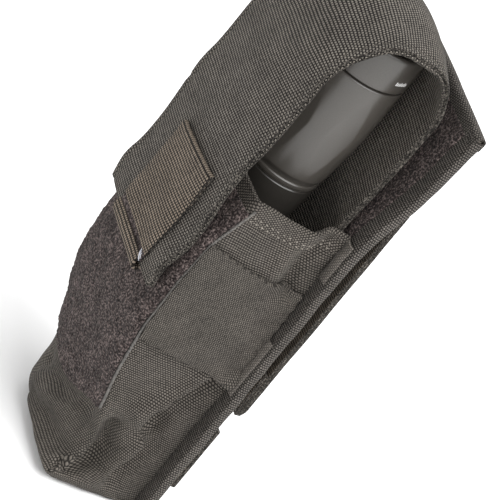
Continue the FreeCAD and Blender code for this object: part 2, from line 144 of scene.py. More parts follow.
class PouchSettings(bpy.types.PropertyGroup):
    """Pouch's cloth, tapes and fuzz."""
    cloth_thickness: length_setting("Cloth", "Thickness of the pouch's cloth", 0.0013, 0.003)
    cloth_dark: colour_setting("Cloth, between yarns", "Colour between the yarns", (0.014, 0.0125, 0.0108))
    cloth_light: colour_setting("Cloth, yarns", "Colour on top of the yarns", (0.108, 0.096, 0.083))
    cloth_pitch: length_setting("Cloth rib pitch", "Distance from rib to rib of the cloth", 0.00084, 0.005)
    loop_thickness: length_setting("Loop field", "Thickness of the loop field on the front", 0.0012, 0.004)
    loop_dark: colour_setting("Loop, deep", "Colour deep in the loops", (0.010, 0.0068, 0.0066))
    loop_light: colour_setting("Loop, tips", "Colour on the loops' tips", (0.150, 0.119, 0.111))
    tape_colour: colour_setting("Edge tape", "Colour of the smooth edge tape", (0.105, 0.094, 0.083))
    thread_colour: colour_setting("Thread", "Colour of the stitches", (0.075, 0.067, 0.058))
    loose_thread_colour: colour_setting("Loose thread", "Colour of the loose thread ends", (0.52, 0.53, 0.58))


class FlapSettings(bpy.types.PropertyGroup):
    """Flap strap and pull tab."""
    strap_thickness: length_setting("Strap ply", "Thickness of the strap's outer ply", 0.0013, 0.004)
    lining_thickness: length_setting("Lining ply", "Thickness of the strap's inner ply", 0.0009, 0.004)
    rib_pitch: length_setting("Rib pitch", "Distance from rib to rib along the strap", 0.00098, 0.005)
    yarn_pitch: length_setting("Yarn pitch", "Distance from yarn to yarn across the strap", 0.00086, 0.005)
    strap_dark: colour_setting(
        "Strap, between ribs", "Colour between the strap's ribs", (0.004, 0.0035, 0.0030))
    strap_light: colour_setting("Strap, ribs", "Colour on the strap's ribs", (0.140, 0.126, 0.109))
    tab_light: colour_setting("Tab, ribs", "Colour on the pull tab's ribs", (0.165, 0.134, 0.104))


class BeltSettings(bpy.types.PropertyGroup):
    """Belt strap on the back."""
    strap_thickness: length_setting("Belt strap", "Thickness of the belt strap", 0.0021, 0.004)
    webbing_dark: colour_setting(
        "Webbing, between ribs", "Colour between the webbing's ribs", (0.006, 0.0050, 0.0038))
    webbing_light: colour_setting("Webbing, ribs", "Colour on the webbing's ribs", (0.150, 0.125, 0.098))
    webbing_pitch: length_setting(
        "Webbing rib pitch", "Distance from rib to rib of the webbing", 0.0009, 0.005)


SETTINGS = {
    "pouch_studio": StudioSettings, "pouch_light": LightSettings, "pouch_bag": PouchSettings,
    "pouch_flap": FlapSettings, "pouch_belt": BeltSettings,
}


# ---- materials -----------------------------------------------------------------------------------
def new_finish(name, **surface):
    """New material whose constant values sit on the shader's own sockets."""
    finish = bpy.data.materials.new(name)
    finish.use_nodes = True
    shader = finish.node_tree.nodes["Principled BSDF"]
    for socket, value in surface.items():
        shader.inputs[socket.replace("_", " ")].default_value = value
    return finish.node_tree, shader, finish


def wire(tree, value, socket):
    """Links a node's output to a socket, or sets the socket to a plain value."""
    if isinstance(value, bpy.types.NodeSocket):
        tree.links.new(value, socket)
    else:
        socket.default_value = value


def math_node(tree, operation, *values):
    """One arithmetic step on values or node outputs."""
    node = tree.nodes.new("ShaderNodeMath")
    node.operation = operation
    for socket, value in zip(node.inputs, values):
        wire(tree, value, socket)
    return node.outputs[0]


def grain_node(tree, size, detail=2.0, stretch=(1.0, 1.0, 1.0)):
    """Noise on the piece's own place, with features of about one size in metres."""
    place = tree.nodes.new("ShaderNodeTexCoord")
    mapping = tree.nodes.new("ShaderNodeMapping")
    mapping.inputs["Scale"].default_value = stretch
    grain = tree.nodes.new("ShaderNodeTexNoise")
    grain.inputs["Scale"].default_value = 1.0 / size
    grain.inputs["Detail"].default_value = detail
    tree.links.new(place.outputs["Object"], mapping.inputs["Vector"])
    tree.links.new(mapping.outputs["Vector"], grain.inputs["Vector"])
    return grain


def ramp_node(tree, value, stops):
    """Colour ramp of (place, colour) stops."""
    ramp = tree.nodes.new("ShaderNodeValToRGB")
    while len(ramp.color_ramp.elements) < len(stops):
        ramp.color_ramp.elements.new(0.5)
    for element, (place, colour) in zip(ramp.color_ramp.elements, stops):
        element.position = place
        element.color = (*colour, 1.0)
    tree.links.new(value, ramp.inputs["Fac"])
    return ramp.outputs["Color"]


def scaled(colour, share):
    """Colour made darker or lighter by one share."""
    return tuple(part * share for part in colour)


def mottled(tree, colour, low, high, size):
    """Colour made lighter and darker in soft patches."""
    patches = grain_node(tree, size)
    share = tree.nodes.new("ShaderNodeMapRange")
    share.inputs["From Min"].default_value = 0.3
    share.inputs["From Max"].default_value = 0.7
    share.inputs["To Min"].default_value = low
    share.inputs["To Max"].default_value = high
    tree.links.new(patches.outputs["Fac"], share.inputs["Value"])
    shaded = tree.nodes.new("ShaderNodeVectorMath")
    shaded.operation = "SCALE"
    tree.links.new(colour, shaded.inputs["Vector"])
    tree.links.new(share.outputs["Result"], shaded.inputs["Scale"])
    return shaded.outputs["Vector"]


def raise_surface(tree, shader, height, depth, strength=1.0):
    """Bump of one depth in metres."""
    bump = tree.nodes.new("ShaderNodeBump")
    bump.inputs["Strength"].default_value = strength
    bump.inputs["Distance"].default_value = depth
    tree.links.new(height, bump.inputs["Height"])
    tree.links.new(bump.outputs["Normal"], shader.inputs["Normal"])


def hump(tree, place):
    """Rounded hill once for every unit of place."""
    part = math_node(tree, "FRACT", place)
    swing = math_node(tree, "MULTIPLY_ADD", part, 2.0, -1.0)
    return math_node(tree, "SUBTRACT", 1.0, math_node(tree, "MULTIPLY", swing, swing))


def weave_height(tree, rib_pitch, yarn_pitch, turn, waver):
    """Height from 0 to 1 of ribs broken into yarns, on the piece's flat coordinates in millimetres."""
    place = tree.nodes.new("ShaderNodeTexCoord")
    drift = grain_node(tree, 0.006)
    shifted = tree.nodes.new("ShaderNodeVectorMath")
    shifted.operation = "MULTIPLY_ADD"
    tree.links.new(drift.outputs["Color"], shifted.inputs[0])
    shifted.inputs[1].default_value = (waver, waver, 0.0)
    tree.links.new(place.outputs["UV"], shifted.inputs[2])
    turned = tree.nodes.new("ShaderNodeMapping")
    turned.inputs["Rotation"].default_value = (0.0, 0.0, turn)
    tree.links.new(shifted.outputs["Vector"], turned.inputs["Vector"])
    axes = tree.nodes.new("ShaderNodeSeparateXYZ")
    tree.links.new(turned.outputs["Vector"], axes.inputs["Vector"])
    row = math_node(tree, "DIVIDE", axes.outputs["Y"], rib_pitch / MM)
    shift = math_node(tree, "MULTIPLY", math_node(tree, "FLOOR", row), 0.5)
    column = math_node(tree, "ADD", math_node(tree, "DIVIDE", axes.outputs["X"], yarn_pitch / MM), shift)
    rib = math_node(tree, "POWER", hump(tree, row), 0.8)
    yarn = math_node(tree, "MULTIPLY_ADD", hump(tree, column), 0.75, 0.25)
    return math_node(tree, "MULTIPLY", rib, yarn)


def woven_finish(name, dark, light, rib_pitch, yarn_pitch, turn=0.0, depth=0.00030, waver=0.35, sheen=0.02,
                 roughness=0.85):
    """Woven cloth: ribs of yarns with a duller ground, uneven yarn by yarn."""
    tree, shader, finish = new_finish(
        name, Roughness=roughness, Sheen_Weight=sheen, Sheen_Roughness=0.45, Specular_IOR_Level=0.15)
    height = weave_height(tree, rib_pitch, yarn_pitch, turn, waver)
    uneven = grain_node(tree, 0.0009)
    share = math_node(tree, "MULTIPLY_ADD", uneven.outputs["Fac"], 0.9, 0.5)
    lifted = math_node(tree, "MULTIPLY", height, share)
    middle = tuple(a + b * 0.16 for a, b in zip(dark, light))
    colour = ramp_node(tree, lifted, [(0.16, dark), (0.46, middle), (0.84, scaled(light, 1.3))])
    tree.links.new(mottled(tree, colour, 0.86, 1.14, 0.009), shader.inputs["Base Color"])
    raise_surface(tree, shader, lifted, depth)
    return finish


def fuzzy_finish(name, dark, light, tuft=0.0006, depth=0.0009, sheen=0.07):
    """Napped loops: a tangle of soft tufts."""
    tree, shader, finish = new_finish(
        name, Roughness=0.95, Sheen_Weight=sheen, Sheen_Roughness=0.5, Specular_IOR_Level=0.1)
    tufts = grain_node(tree, tuft, 4.0)
    middle = tuple(a + b * 0.22 for a, b in zip(dark, light))
    colour = ramp_node(tree, tufts.outputs["Fac"], [(0.38, dark), (0.52, middle), (0.64, light)])
    tree.links.new(mottled(tree, colour, 0.7, 1.3, 0.006), shader.inputs["Base Color"])
    raise_surface(tree, shader, tufts.outputs["Fac"], depth)
    return finish


def solid_finish(name, colour, roughness, grain=0.0004, depth=0.00001, metallic=0.0, **more):
    """Metal, plastic or rubber with a fine grain and slightly uneven gloss."""
    tree, shader, finish = new_finish(name, Metallic=metallic, **more)
    fine = grain_node(tree, grain, 3.0)
    broad = grain_node(tree, 0.007)
    gloss = tree.nodes.new("ShaderNodeMapRange")
    gloss.inputs["To Min"].default_value = max(0.0, roughness - 0.05)
    gloss.inputs["To Max"].default_value = roughness + 0.05
    tree.links.new(broad.outputs["Fac"], gloss.inputs["Value"])
    tree.links.new(gloss.outputs["Result"], shader.inputs["Roughness"])
    pale = tuple(min(1.0, c * 1.12) for c in colour)
    shade = ramp_node(tree, fine.outputs["Fac"], [(0.3, scaled(colour, 0.9)), (0.7, pale)])
    tree.links.new(shade, shader.inputs["Base Color"])
    raise_surface(tree, shader, fine.outputs["Fac"], depth)
    return finish


def speckled_finish(name, grain, deep, pale, depth, **surface):
    """Thread or tape: a fine grain between two colours, each with its place on the grain."""
    tree, shader, finish = new_finish(name, **surface)
    fine = grain_node(tree, grain)
    colour = ramp_node(tree, fine.outputs["Fac"], [deep, pale])
    tree.links.new(colour, shader.inputs["Base Color"])
    raise_surface(tree, shader, fine.outputs["Fac"], depth)
    return finish


# ---- smooth lines --------------------------------------------------------------------------------
def smooth_through(points, t):
    """Points on the smooth line through a row of points, at places t counted in points."""
    points = np.asarray(points, float)
    t = np.clip(t, 0, len(points) - 1 - 1e-9)
    index = t.astype(int)
    f = (t - index)[..., None]
    ends = [2 * points[0] - points[1]], points, [2 * points[-1] - points[-2]]
    padded = np.concatenate(ends)
    a, b, c, d = (padded[index + k] for k in range(4))
    bend = 2 * a - 5 * b + 4 * c - d
    twist = 3 * b - a - 3 * c + d
    return 0.5 * (2 * b + (c - a) * f + bend * f ** 2 + twist * f ** 3)


def unit(vectors):
    """Vectors at length one."""
    return vectors / np.maximum(np.linalg.norm(vectors, axis=-1, keepdims=True), 1e-9)


def slope_at(points, t, step=0.03):
    """Direction of the smooth line through a row of points, not yet at length one."""
    return smooth_through(points, t + step) - smooth_through(points, t - step)


def even_places(points, share):
    """Places along a row of points, counted in points, for shares of its smooth length."""
    fine = np.linspace(0, len(points) - 1, 40 * len(points))
    line = smooth_through(points, fine)
    steps = np.linalg.norm(np.diff(line, axis=0), axis=1)
    along = np.concatenate([[0], np.cumsum(steps)])
    return np.interp(np.asarray(share) * along[-1], along, fine)


def line_length(points):
    """Length of the smooth line through a row of points."""
    line = smooth_through(points, np.linspace(0, len(points) - 1, 40 * len(points)))
    return float(np.linalg.norm(np.diff(line, axis=0), axis=1).sum())


def at_height(z, table):
    """Value at a height from a table of (height, value)."""
    rows = np.array(sorted(table), float)
    return np.interp(z, rows[:, 0], rows[:, 1])


def waves(points, size, seed=0.0):
    """Soft noise from -1 to 1 at each point, with features of about one size."""
    shift = Vector((seed * 13.7, seed * 5.1, seed * 9.3))
    flat = points.reshape(-1, 3) / size
    return np.array([noise.noise(Vector(p) + shift) for p in flat]).reshape(points.shape[:-1]) * 2.0


def softened(net, sigma, axis):
    """Net of points smoothed along one axis."""
    reach = int(3 * sigma) + 1
    kernel = np.exp(-0.5 * (np.arange(-reach, reach + 1) / sigma) ** 2)
    kernel /= kernel.sum()
    pads = [(0, 0)] * net.ndim
    pads[axis] = (reach, reach)
    wide = np.pad(net, pads, mode="reflect", reflect_type="odd")
    return np.apply_along_axis(lambda row: np.convolve(row, kernel, mode="valid"), axis, wide)


def net_normals(net):
    """Unit normals of a net of points."""
    down = np.gradient(net, axis=0)
    across = np.gradient(net, axis=1)
    return unit(np.cross(across, down))


def pick(net, a, h):
    """Points of a net at places across and along, both from 0 to 1."""
    rows, columns = net.shape[:2]
    y = np.clip(h, 0, 1) * (rows - 1)
    x = np.clip(a, 0, 1) * (columns - 1)
    i = np.minimum(y.astype(int), rows - 2)
    j = np.minimum(x.astype(int), columns - 2)
    fy = (y - i)[..., None]
    fx = (x - j)[..., None]
    low = net[i, j] * (1 - fx) + net[i, j + 1] * fx
    high = net[i + 1, j] * (1 - fx) + net[i + 1, j + 1] * fx
    return low * (1 - fy) + high * fy


# ---- pieces --------------------------------------------------------------------------------------
def deselect_all():
    """Leaves nothing selected."""
    if bpy.context.object and bpy.context.object.mode != "OBJECT":
        bpy.ops.object.mode_set(mode="OBJECT")
    bpy.ops.object.select_all(action="DESELECT")


def work_on(piece):
    """Selects one piece alone."""
    deselect_all()
    piece.select_set(True)
    bpy.context.view_layer.objects.active = piece


def read_points(mesh):
    """Places of a mesh's vertices, in millimetres."""
    places = np.empty(len(mesh.vertices) * 3)
    mesh.vertices.foreach_get("co", places)
    return places.reshape(-1, 3) / MM


def write_points(mesh, points):
    """Puts a mesh's vertices at places in millimetres."""
    mesh.vertices.foreach_set("co", (points * MM).ravel())
    mesh.update()


def joined(pieces):
    """One piece made of many."""
    deselect_all()
    for piece in pieces:
        piece.select_set(True)
    bpy.context.view_layer.objects.active = pieces[0]
    bpy.ops.object.join()
    return bpy.context.object


def apply_modifier(piece, kind, **settings):
    """Adds a modifier and applies it."""
    work_on(piece)
    modifier = piece.modifiers.new(kind.title(), kind)
    for name, value in settings.items():
        setattr(modifier, name, value)
    bpy.ops.object.modifier_apply(modifier=modifier.name)


def turn_outwards(piece):
    """Makes every face point out."""
    work_on(piece)
    bpy.ops.object.mode_set(mode="EDIT")
    bpy.ops.mesh.select_all(action="SELECT")
    bpy.ops.mesh.normals_make_consistent(inside=False)
    bpy.ops.object.mode_set(mode="OBJECT")


def smooth_shading(piece, angle=40):
    """Smooth shading that keeps edges sharper than an angle."""
    work_on(piece)
    bpy.ops.object.shade_smooth_by_angle(angle=math.radians(angle))


def dress(piece, name, body, slot, finish, *nodes, edge=None):
    """Names a finished piece, gives it its finish, and hangs it on its body in place of CAD nodes."""
    piece.name = name
    piece.data.name = name
    if edge:
        piece.data.materials[0] = finish
        piece.data.materials[1] = edge
    else:
        piece.data.materials.clear()
        piece.data.materials.append(finish)
    if nodes:
        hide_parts(*nodes)
    if body:
        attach(piece, body)
    return piece


def cloth(surface, across, along, thickness, rim=0.3, edged=False):
    """Closed ply of cloth about a surface, which gives points in millimetres for u and v from 0 to 1.

    Its UV map is laid out in millimetres. An edged ply keeps a second material for its edge faces.
    """
    deselect_all()
    bpy.ops.mesh.primitive_grid_add(x_subdivisions=across, y_subdivisions=along, size=1.0)
    piece = bpy.context.object
    mesh = piece.data
    start = read_points(mesh) * MM
    points = surface(start[:, 0] + 0.5, start[:, 1] + 0.5)
    write_points(mesh, points)
    rows = points.reshape(along + 1, across + 1, 3)
    over = np.cumsum(np.linalg.norm(np.diff(rows, axis=1, prepend=rows[:, :1]), axis=2).mean(axis=0))
    down = np.cumsum(np.linalg.norm(np.diff(rows, axis=0, prepend=rows[:1]), axis=2).mean(axis=1))
    corners = np.empty(len(mesh.loops), dtype=np.int32)
    mesh.loops.foreach_get("vertex_index", corners)
    laid = np.stack([over[corners % (across + 1)], down[corners // (across + 1)]], axis=-1)
    mesh.uv_layers.active.data.foreach_set("uv", laid.ravel())
    mesh.update()
    if edged:
        mesh.materials.append(None)
        mesh.materials.append(None)
    apply_modifier(
        piece, "SOLIDIFY", thickness=thickness * MM, offset=0.0, material_offset_rim=int(edged))
    if rim:
        apply_modifier(piece, "BEVEL", width=min(rim, thickness * 0.4) * MM, segments=2, limit_method="ANGLE",
                       angle_limit=math.radians(60))
    turn_outwards(piece)
    smooth_shading(piece)
    return piece


def lathe(profile, steps):
    """Turned solid: a closed outline of (radius, z) points spun once round Z."""
    deselect_all()
    bpy.ops.mesh.primitive_circle_add(vertices=len(profile), radius=MM)
    piece = bpy.context.object
    for vertex, (radius, z) in zip(piece.data.vertices, profile):
        vertex.co = (radius * MM, 0.0, z * MM)
    bpy.ops.object.mode_set(mode="EDIT")
    bpy.ops.mesh.select_all(action="SELECT")
    bpy.ops.mesh.spin(steps=steps, angle=2 * math.pi, center=(0, 0, 0), axis=(0, 0, 1))
    bpy.ops.mesh.select_all(action="SELECT")
    bpy.ops.mesh.remove_doubles(threshold=0.000002)
    bpy.ops.mesh.normals_make_consistent(inside=False)
    bpy.ops.object.mode_set(mode="OBJECT")
    return piece


def ribbon(path, half_width, lift=0.0, sag=0.0, ripple=0.25, seed=1.0, centre=0.0, start=0.0, end=1.0):
    """Surface of a band that runs along a (y, z) path, its width along X."""
    def surface(u, v):
        share = start + (end - start) * v
        t = even_places(path, share)
        line = smooth_through(path, t)
        slope = unit(slope_at(path, t, 0.02))
        x = centre + (2 * u - 1) * half_width
        points = np.stack([x, line[..., 0], line[..., 1]], axis=-1)
        out = np.stack([np.zeros_like(x), -slope[..., 1], slope[..., 0]], axis=-1)
        height = lift + sag * (2 * u - 1) ** 2
        height = height + ripple * waves(points, 16.0, seed)
        return points + out * height[..., None]
    return surface


def stitches(name, body, rows, length=1.9, radius=0.22, pitch=2.7, colour=None):
    """Rows of small thread capsules, each row a list of points in millimetres."""
    deselect_all()
    bpy.ops.mesh.primitive_uv_sphere_add(segments=6, ring_count=4, radius=MM, rotation=(0, math.pi / 2, 0))
    first = bpy.context.object
    bpy.ops.object.transform_apply(location=False, rotation=True, scale=False)
    made = []
    for row in rows:
        row = np.asarray(row, float)
        count = max(1, int(line_length(row) / pitch))
        shares = (np.arange(count) + 0.5) / count
        t = even_places(row, shares)
        places = smooth_through(row, t)
        slopes = slope_at(row, t, 0.05)
        for place, slope in zip(places, slopes):
            turn = Vector(slope).to_track_quat("X", "Z").to_matrix().to_4x4()
            size = Matrix.Diagonal((length / 2, radius, radius, 1.0))
            copy = first.copy()
            copy.data = first.data.copy()
            copy.data.transform(Matrix.Translation(Vector(place) * MM) @ turn @ size)
            bpy.context.collection.objects.link(copy)
            made.append(copy)
    bpy.data.objects.remove(first)
    piece = joined(made)
    smooth_shading(piece, 80)
    thread = colour or bpy.context.scene.pouch_bag.thread_colour
    finish = woven_finish(name + "_finish", scaled(thread, 0.6), tuple(thread), 0.0004, 0.0004,
                          depth=0.00003)
    return dress(piece, name, body, "thread_black", finish)


def raise_nap(piece, layers):
    """Raises a napped face in small uneven tufts, for layers of (tuft size, height) in millimetres."""
    mesh = piece.data
    places = read_points(mesh)
    normals = np.empty(len(mesh.vertices) * 3)
    mesh.vertex_normals.foreach_get("vector", normals)
    lift = sum(height * waves(places, size, 2.0) * 0.5 for size, height in layers)
    write_points(mesh, places + normals.reshape(-1, 3) * lift[:, None])


def tube_along(points, radius, steps=5):
    """Round cord of one radius through points in millimetres, as a mesh with closed ends."""
    deselect_all()
    curve = bpy.data.curves.new("cord", "CURVE")
    curve.dimensions = "3D"
    curve.bevel_depth = radius * MM
    curve.bevel_resolution = 2
    curve.use_fill_caps = True
    spline = curve.splines.new("POLY")
    line = smooth_through(points, np.linspace(0, len(points) - 1, steps * (len(points) - 1) + 1))
    spline.points.add(len(line) - 1)
    for point, place in zip(spline.points, line):
        point.co = (*(place * MM), 1.0)
    piece = bpy.data.objects.new("cord", curve)
    bpy.context.collection.objects.link(piece)
    work_on(piece)
    bpy.ops.object.convert(target="MESH")
    piece = bpy.context.object
    turn_outwards(piece)
    smooth_shading(piece, 60)
    return piece


# ---- shape of the flap strap ---------------------------------------------------------------------
# Outer face of the strap as (y, z), from its front end up and over the head and down into the pouch:
# first along its middle, then along its edges, point for point.
STRAP_MIDDLE = [
    (-28.0, 77.4), (-28.5, 86.5), (-28.2, 94.5), (-28.0, 106.0), (-28.3, 117.4), (-28.5, 126.0),
    (-28.3, 134.0), (-28.0, 143.0), (-27.8, 152.5), (-26.9, 161.5), (-24.2, 169.5), (-19.8, 175.6),
    (-13.6, 180.0), (-6.0, 182.1), (2.0, 182.0), (9.4, 179.4), (14.6, 174.8), (17.5, 168.8),
    (18.4, 162.5), (18.4, 152.0), (18.0, 142.0), (17.7, 133.0), (17.4, 124.0), (17.3, 116.0),
    (17.3, 100.0), (17.3, 80.0), (17.3, 60.0),
]
STRAP_EDGE = [
    (-27.6, 78.0), (-28.4, 86.5), (-27.0, 94.2), (-26.3, 105.8), (-27.1, 117.4), (-27.7, 125.9),
    (-26.5, 133.6), (-25.7, 142.5), (-25.6, 152.2), (-25.3, 161.0), (-22.8, 168.4), (-19.2, 173.6),
    (-14.4, 178.2), (-8.0, 179.8), (-0.8, 178.9), (6.6, 177.2), (11.0, 173.9), (13.9, 169.2),
    (16.6, 162.8), (16.3, 151.5), (15.9, 142.0), (15.3, 133.0), (15.1, 124.0), (15.7, 116.0),
    (17.1, 100.0), (17.2, 80.0), (17.2, 60.0),
]
STRAP_HALF = 24.8
PLY_GAP = 0.12
LINING_PROUD = 0.25
STITCH_INSET = 2.2
# The front part of the strap ends before this share of its length.
FRONT_SHARE = 0.42
# The strap narrows where it goes into the pouch, from this point of its line on.
MOUTH_POINT = 21.0


def strap_face(u, v, lift=0.0, half=STRAP_HALF, detail=True):
    """Strap's outer face, or a layer at a lift above it.

    u runs across from left to right, v from the front end to the foot of the tail.
    """
    t = even_places(STRAP_MIDDLE, v)
    middle = smooth_through(STRAP_MIDDLE, t)
    edge = smooth_through(STRAP_EDGE, t)
    side = np.abs(2 * u - 1)
    share = side ** 2.3
    line = middle * (1 - share[..., None]) + edge * share[..., None]
    slope = slope_at(STRAP_MIDDLE, t) * (1 - share[..., None]) + slope_at(STRAP_EDGE, t) * share[..., None]
    slope = unit(slope)
    inside = np.clip((t - MOUTH_POINT) / 2.5, 0, 1)
    width = half - 1.9 * inside * inside * (3 - 2 * inside)
    points = np.stack([(2 * u - 1) * width, line[..., 0], line[..., 1]], axis=-1)
    out = np.stack([np.zeros_like(u), -slope[..., 1], slope[..., 0]], axis=-1)
    free = np.clip((MOUTH_POINT - t) / 4.0, 0.0, 1.0)
    height = lift + 0.45 * free * waves(points, 19.0, 3.0)
    if detail:
        distance = (1 - side) * width
        height = height - 0.32 * np.exp(-((distance - STITCH_INSET) / 0.5) ** 2)
        seam = np.where(t < 9, np.exp(-((line[..., 1] - 119.0) / 0.8) ** 2), 0.0)
        height = height - 0.4 * seam
    return points + out * height[..., None]


def strap_share(z):
    """Share of the strap's length at which its front part reaches a height."""
    shares = np.linspace(0, FRONT_SHARE, 500)
    heights = smooth_through(STRAP_MIDDLE, even_places(STRAP_MIDDLE, shares))[:, 1]
    return np.interp(z, heights, shares)


# ---- shape of the pouch's wall -------------------------------------------------------------------
# Going round: right side from back to front, front from right to left, left corner, left side to the back.
RIGHT_END, FRONT_END, CORNER_END = 0.32, 0.68, 0.76
WALL_ROWS, WALL_COLUMNS = 150, 172
# Share down the net at which the wall turns under the pouch, and the height of its upper edge.
FOOT = 0.80
WALL_TOP = MOUTH_Z - 0.2
WALL_LOWEST = 0.75
# Beyond this distance from the middle the wall is sewn flat against the board.
SEAM_X = 23.0
# The wall's places at heights, as (z, value) in millimetres: its front and its right edge, and the radius
# of its left corner.
RIGHT_FRONT_Y = [
    (117.0, -15.0), (99.6, -21.3), (82.8, -22.2), (66.3, -21.7), (50.6, -18.5), (35.2, -14.2),
    (27.4, -11.6), (20.0, -8.4), (12.5, -7.2), (9.5, -8.6), (7.0, -13.4), (5.0, -16.6), (2.5, -15.6),
    (0.6, -12.5),
]
RIGHT_FRONT_X = [(117.0, 25.0), (45.0, 25.0), (33.0, 26.2), (20.0, 24.8), (12.5, 24.4), (7.0, 26.2),
                 (5.0, 26.8), (2.5, 25.8), (0.6, 23.5)]
MIDDLE_FRONT_Y = [
    (117.0, -16.4), (99.0, -22.8), (82.0, -24.0), (66.0, -24.0), (50.0, -21.8), (35.0, -17.4), (25.0, -15.4),
    (15.0, -15.9), (5.0, -15.8), (2.0, -14.0), (0.6, -11.5),
]
LEFT_FRONT_Y = [
    (117.0, -15.4), (99.0, -21.2), (82.0, -22.4), (66.0, -22.4), (50.0, -20.2), (35.0, -16.6), (25.0, -15.0),
    (15.0, -14.6), (5.0, -14.6), (0.6, -10.5),
]
LEFT_RADIUS = [(117.0, 2.6), (48.0, 3.0), (39.0, 5.0), (28.0, 9.5), (21.0, 14.0), (10.0, 16.0), (0.0, 16.0)]


def wall_section(z, a):
    """Outside of the pouch's wall at one height, as x and y for places a round it."""
    right_y, right_x = at_height(z, RIGHT_FRONT_Y), at_height(z, RIGHT_FRONT_X)
    middle_y, left_y = at_height(z, MIDDLE_FRONT_Y), at_height(z, LEFT_FRONT_Y)
    radius = at_height(z, LEFT_RADIUS)
    back_y = BOARD_FACE - 0.1
    bulge = 0.7 + 0.6 * math.sin(math.pi * min(1.0, z / MOUTH_Z))
    on_right = np.clip(a / RIGHT_END, 0, 1)
    on_front = np.clip((a - RIGHT_END) / (FRONT_END - RIGHT_END), 0, 1)
    on_corner = np.clip((a - FRONT_END) / (CORNER_END - FRONT_END), 0, 1)
    on_left = np.clip((a - CORNER_END) / (1 - CORNER_END), 0, 1)
    x_right = POUCH_HALF + (right_x - POUCH_HALF) * on_right + bulge * np.sin(math.pi * on_right)
    y_right = back_y + (right_y - back_y) * on_right
    corner_x = -POUCH_HALF + radius
    x_front = right_x + (corner_x - right_x) * on_front
    crown = 1 - np.abs(2 * on_front - 1) ** 3
    y_front = right_y + (left_y - right_y) * on_front + (middle_y - (right_y + left_y) / 2) * crown
    turn = on_corner * math.pi / 2
    x_corner = corner_x - radius * np.sin(turn)
    y_corner = left_y + radius * (1 - np.cos(turn))
    x_left = -POUCH_HALF - bulge * np.sin(math.pi * on_left)
    y_left = left_y + radius + (back_y - left_y - radius) * on_left
    x = np.where(a <= RIGHT_END, x_right, np.where(a <= FRONT_END, x_front, np.where(
        a <= CORNER_END, x_corner, x_left)))
    y = np.where(a <= RIGHT_END, y_right, np.where(a <= FRONT_END, y_front, np.where(
        a <= CORNER_END, y_corner, y_left)))
    return x, y


def press(net, path, width, depth):
    """Moves a net out (or in, for a negative depth) along a line of points."""
    path = np.asarray(path, float)
    normals = net_normals(net)
    nearest = np.full(net.shape[:2], 1e9)
    for low, high in zip(path, path[1:]):
        step = high - low
        share = np.clip(((net - low) @ step) / (step @ step), 0, 1)
        gap = np.linalg.norm(net - (low + share[..., None] * step), axis=-1)
        nearest = np.minimum(nearest, gap)
    return net + normals * (depth * np.exp(-(nearest / width) ** 2))[..., None]


def build_wall():
    """Net of the pouch's outside: down the walls, then under the bottom to the board."""
    places = np.linspace(0, 1, WALL_COLUMNS)
    rows = []
    dip = 2.2 * np.sin(math.pi * np.clip(places / RIGHT_END, 0, 1)) ** 2
    dip = dip + 2.0 * np.sin(math.pi * np.clip((places - CORNER_END) / (1 - CORNER_END), 0, 1)) ** 2
    for h in np.linspace(0, 1, WALL_ROWS):
        share = min(1.0, h / FOOT)
        z = WALL_TOP + (0.7 - MOUTH_Z) * share
        x, y = wall_section(z, places)
        height = z - dip * (1 - share) ** 4
        under = max(0.0, (h - FOOT) / (1 - FOOT))
        x = x * (1 - 0.04 * under)
        y = y + (BOARD_FACE - 0.3 - y) * under
        rows.append(np.stack([x, y, height + 0 * x], axis=-1))
    net = softened(softened(np.array(rows), 1.5, 1), 1.5, 0)
    for path, width, depth in WALL_FOLDS:
        net = press(net, path, width, FOLD_GAIN * depth)
    push = 0.45 * waves(net, 21.0, 5.0) + 0.16 * waves(net, 6.5, 8.0)
    net = net + net_normals(net) * push[..., None]
    net = softened(softened(net, 0.7, 1), 0.7, 0)
    back = np.abs(net[..., 0]) > SEAM_X
    net[..., 1] = np.where(back, np.minimum(net[..., 1], BOARD_FACE - 0.2), net[..., 1])
    net[..., 2] = np.maximum(net[..., 2], WALL_LOWEST)
    return net


# How much deeper than listed all the folds are pressed.
FOLD_GAIN = 1.9
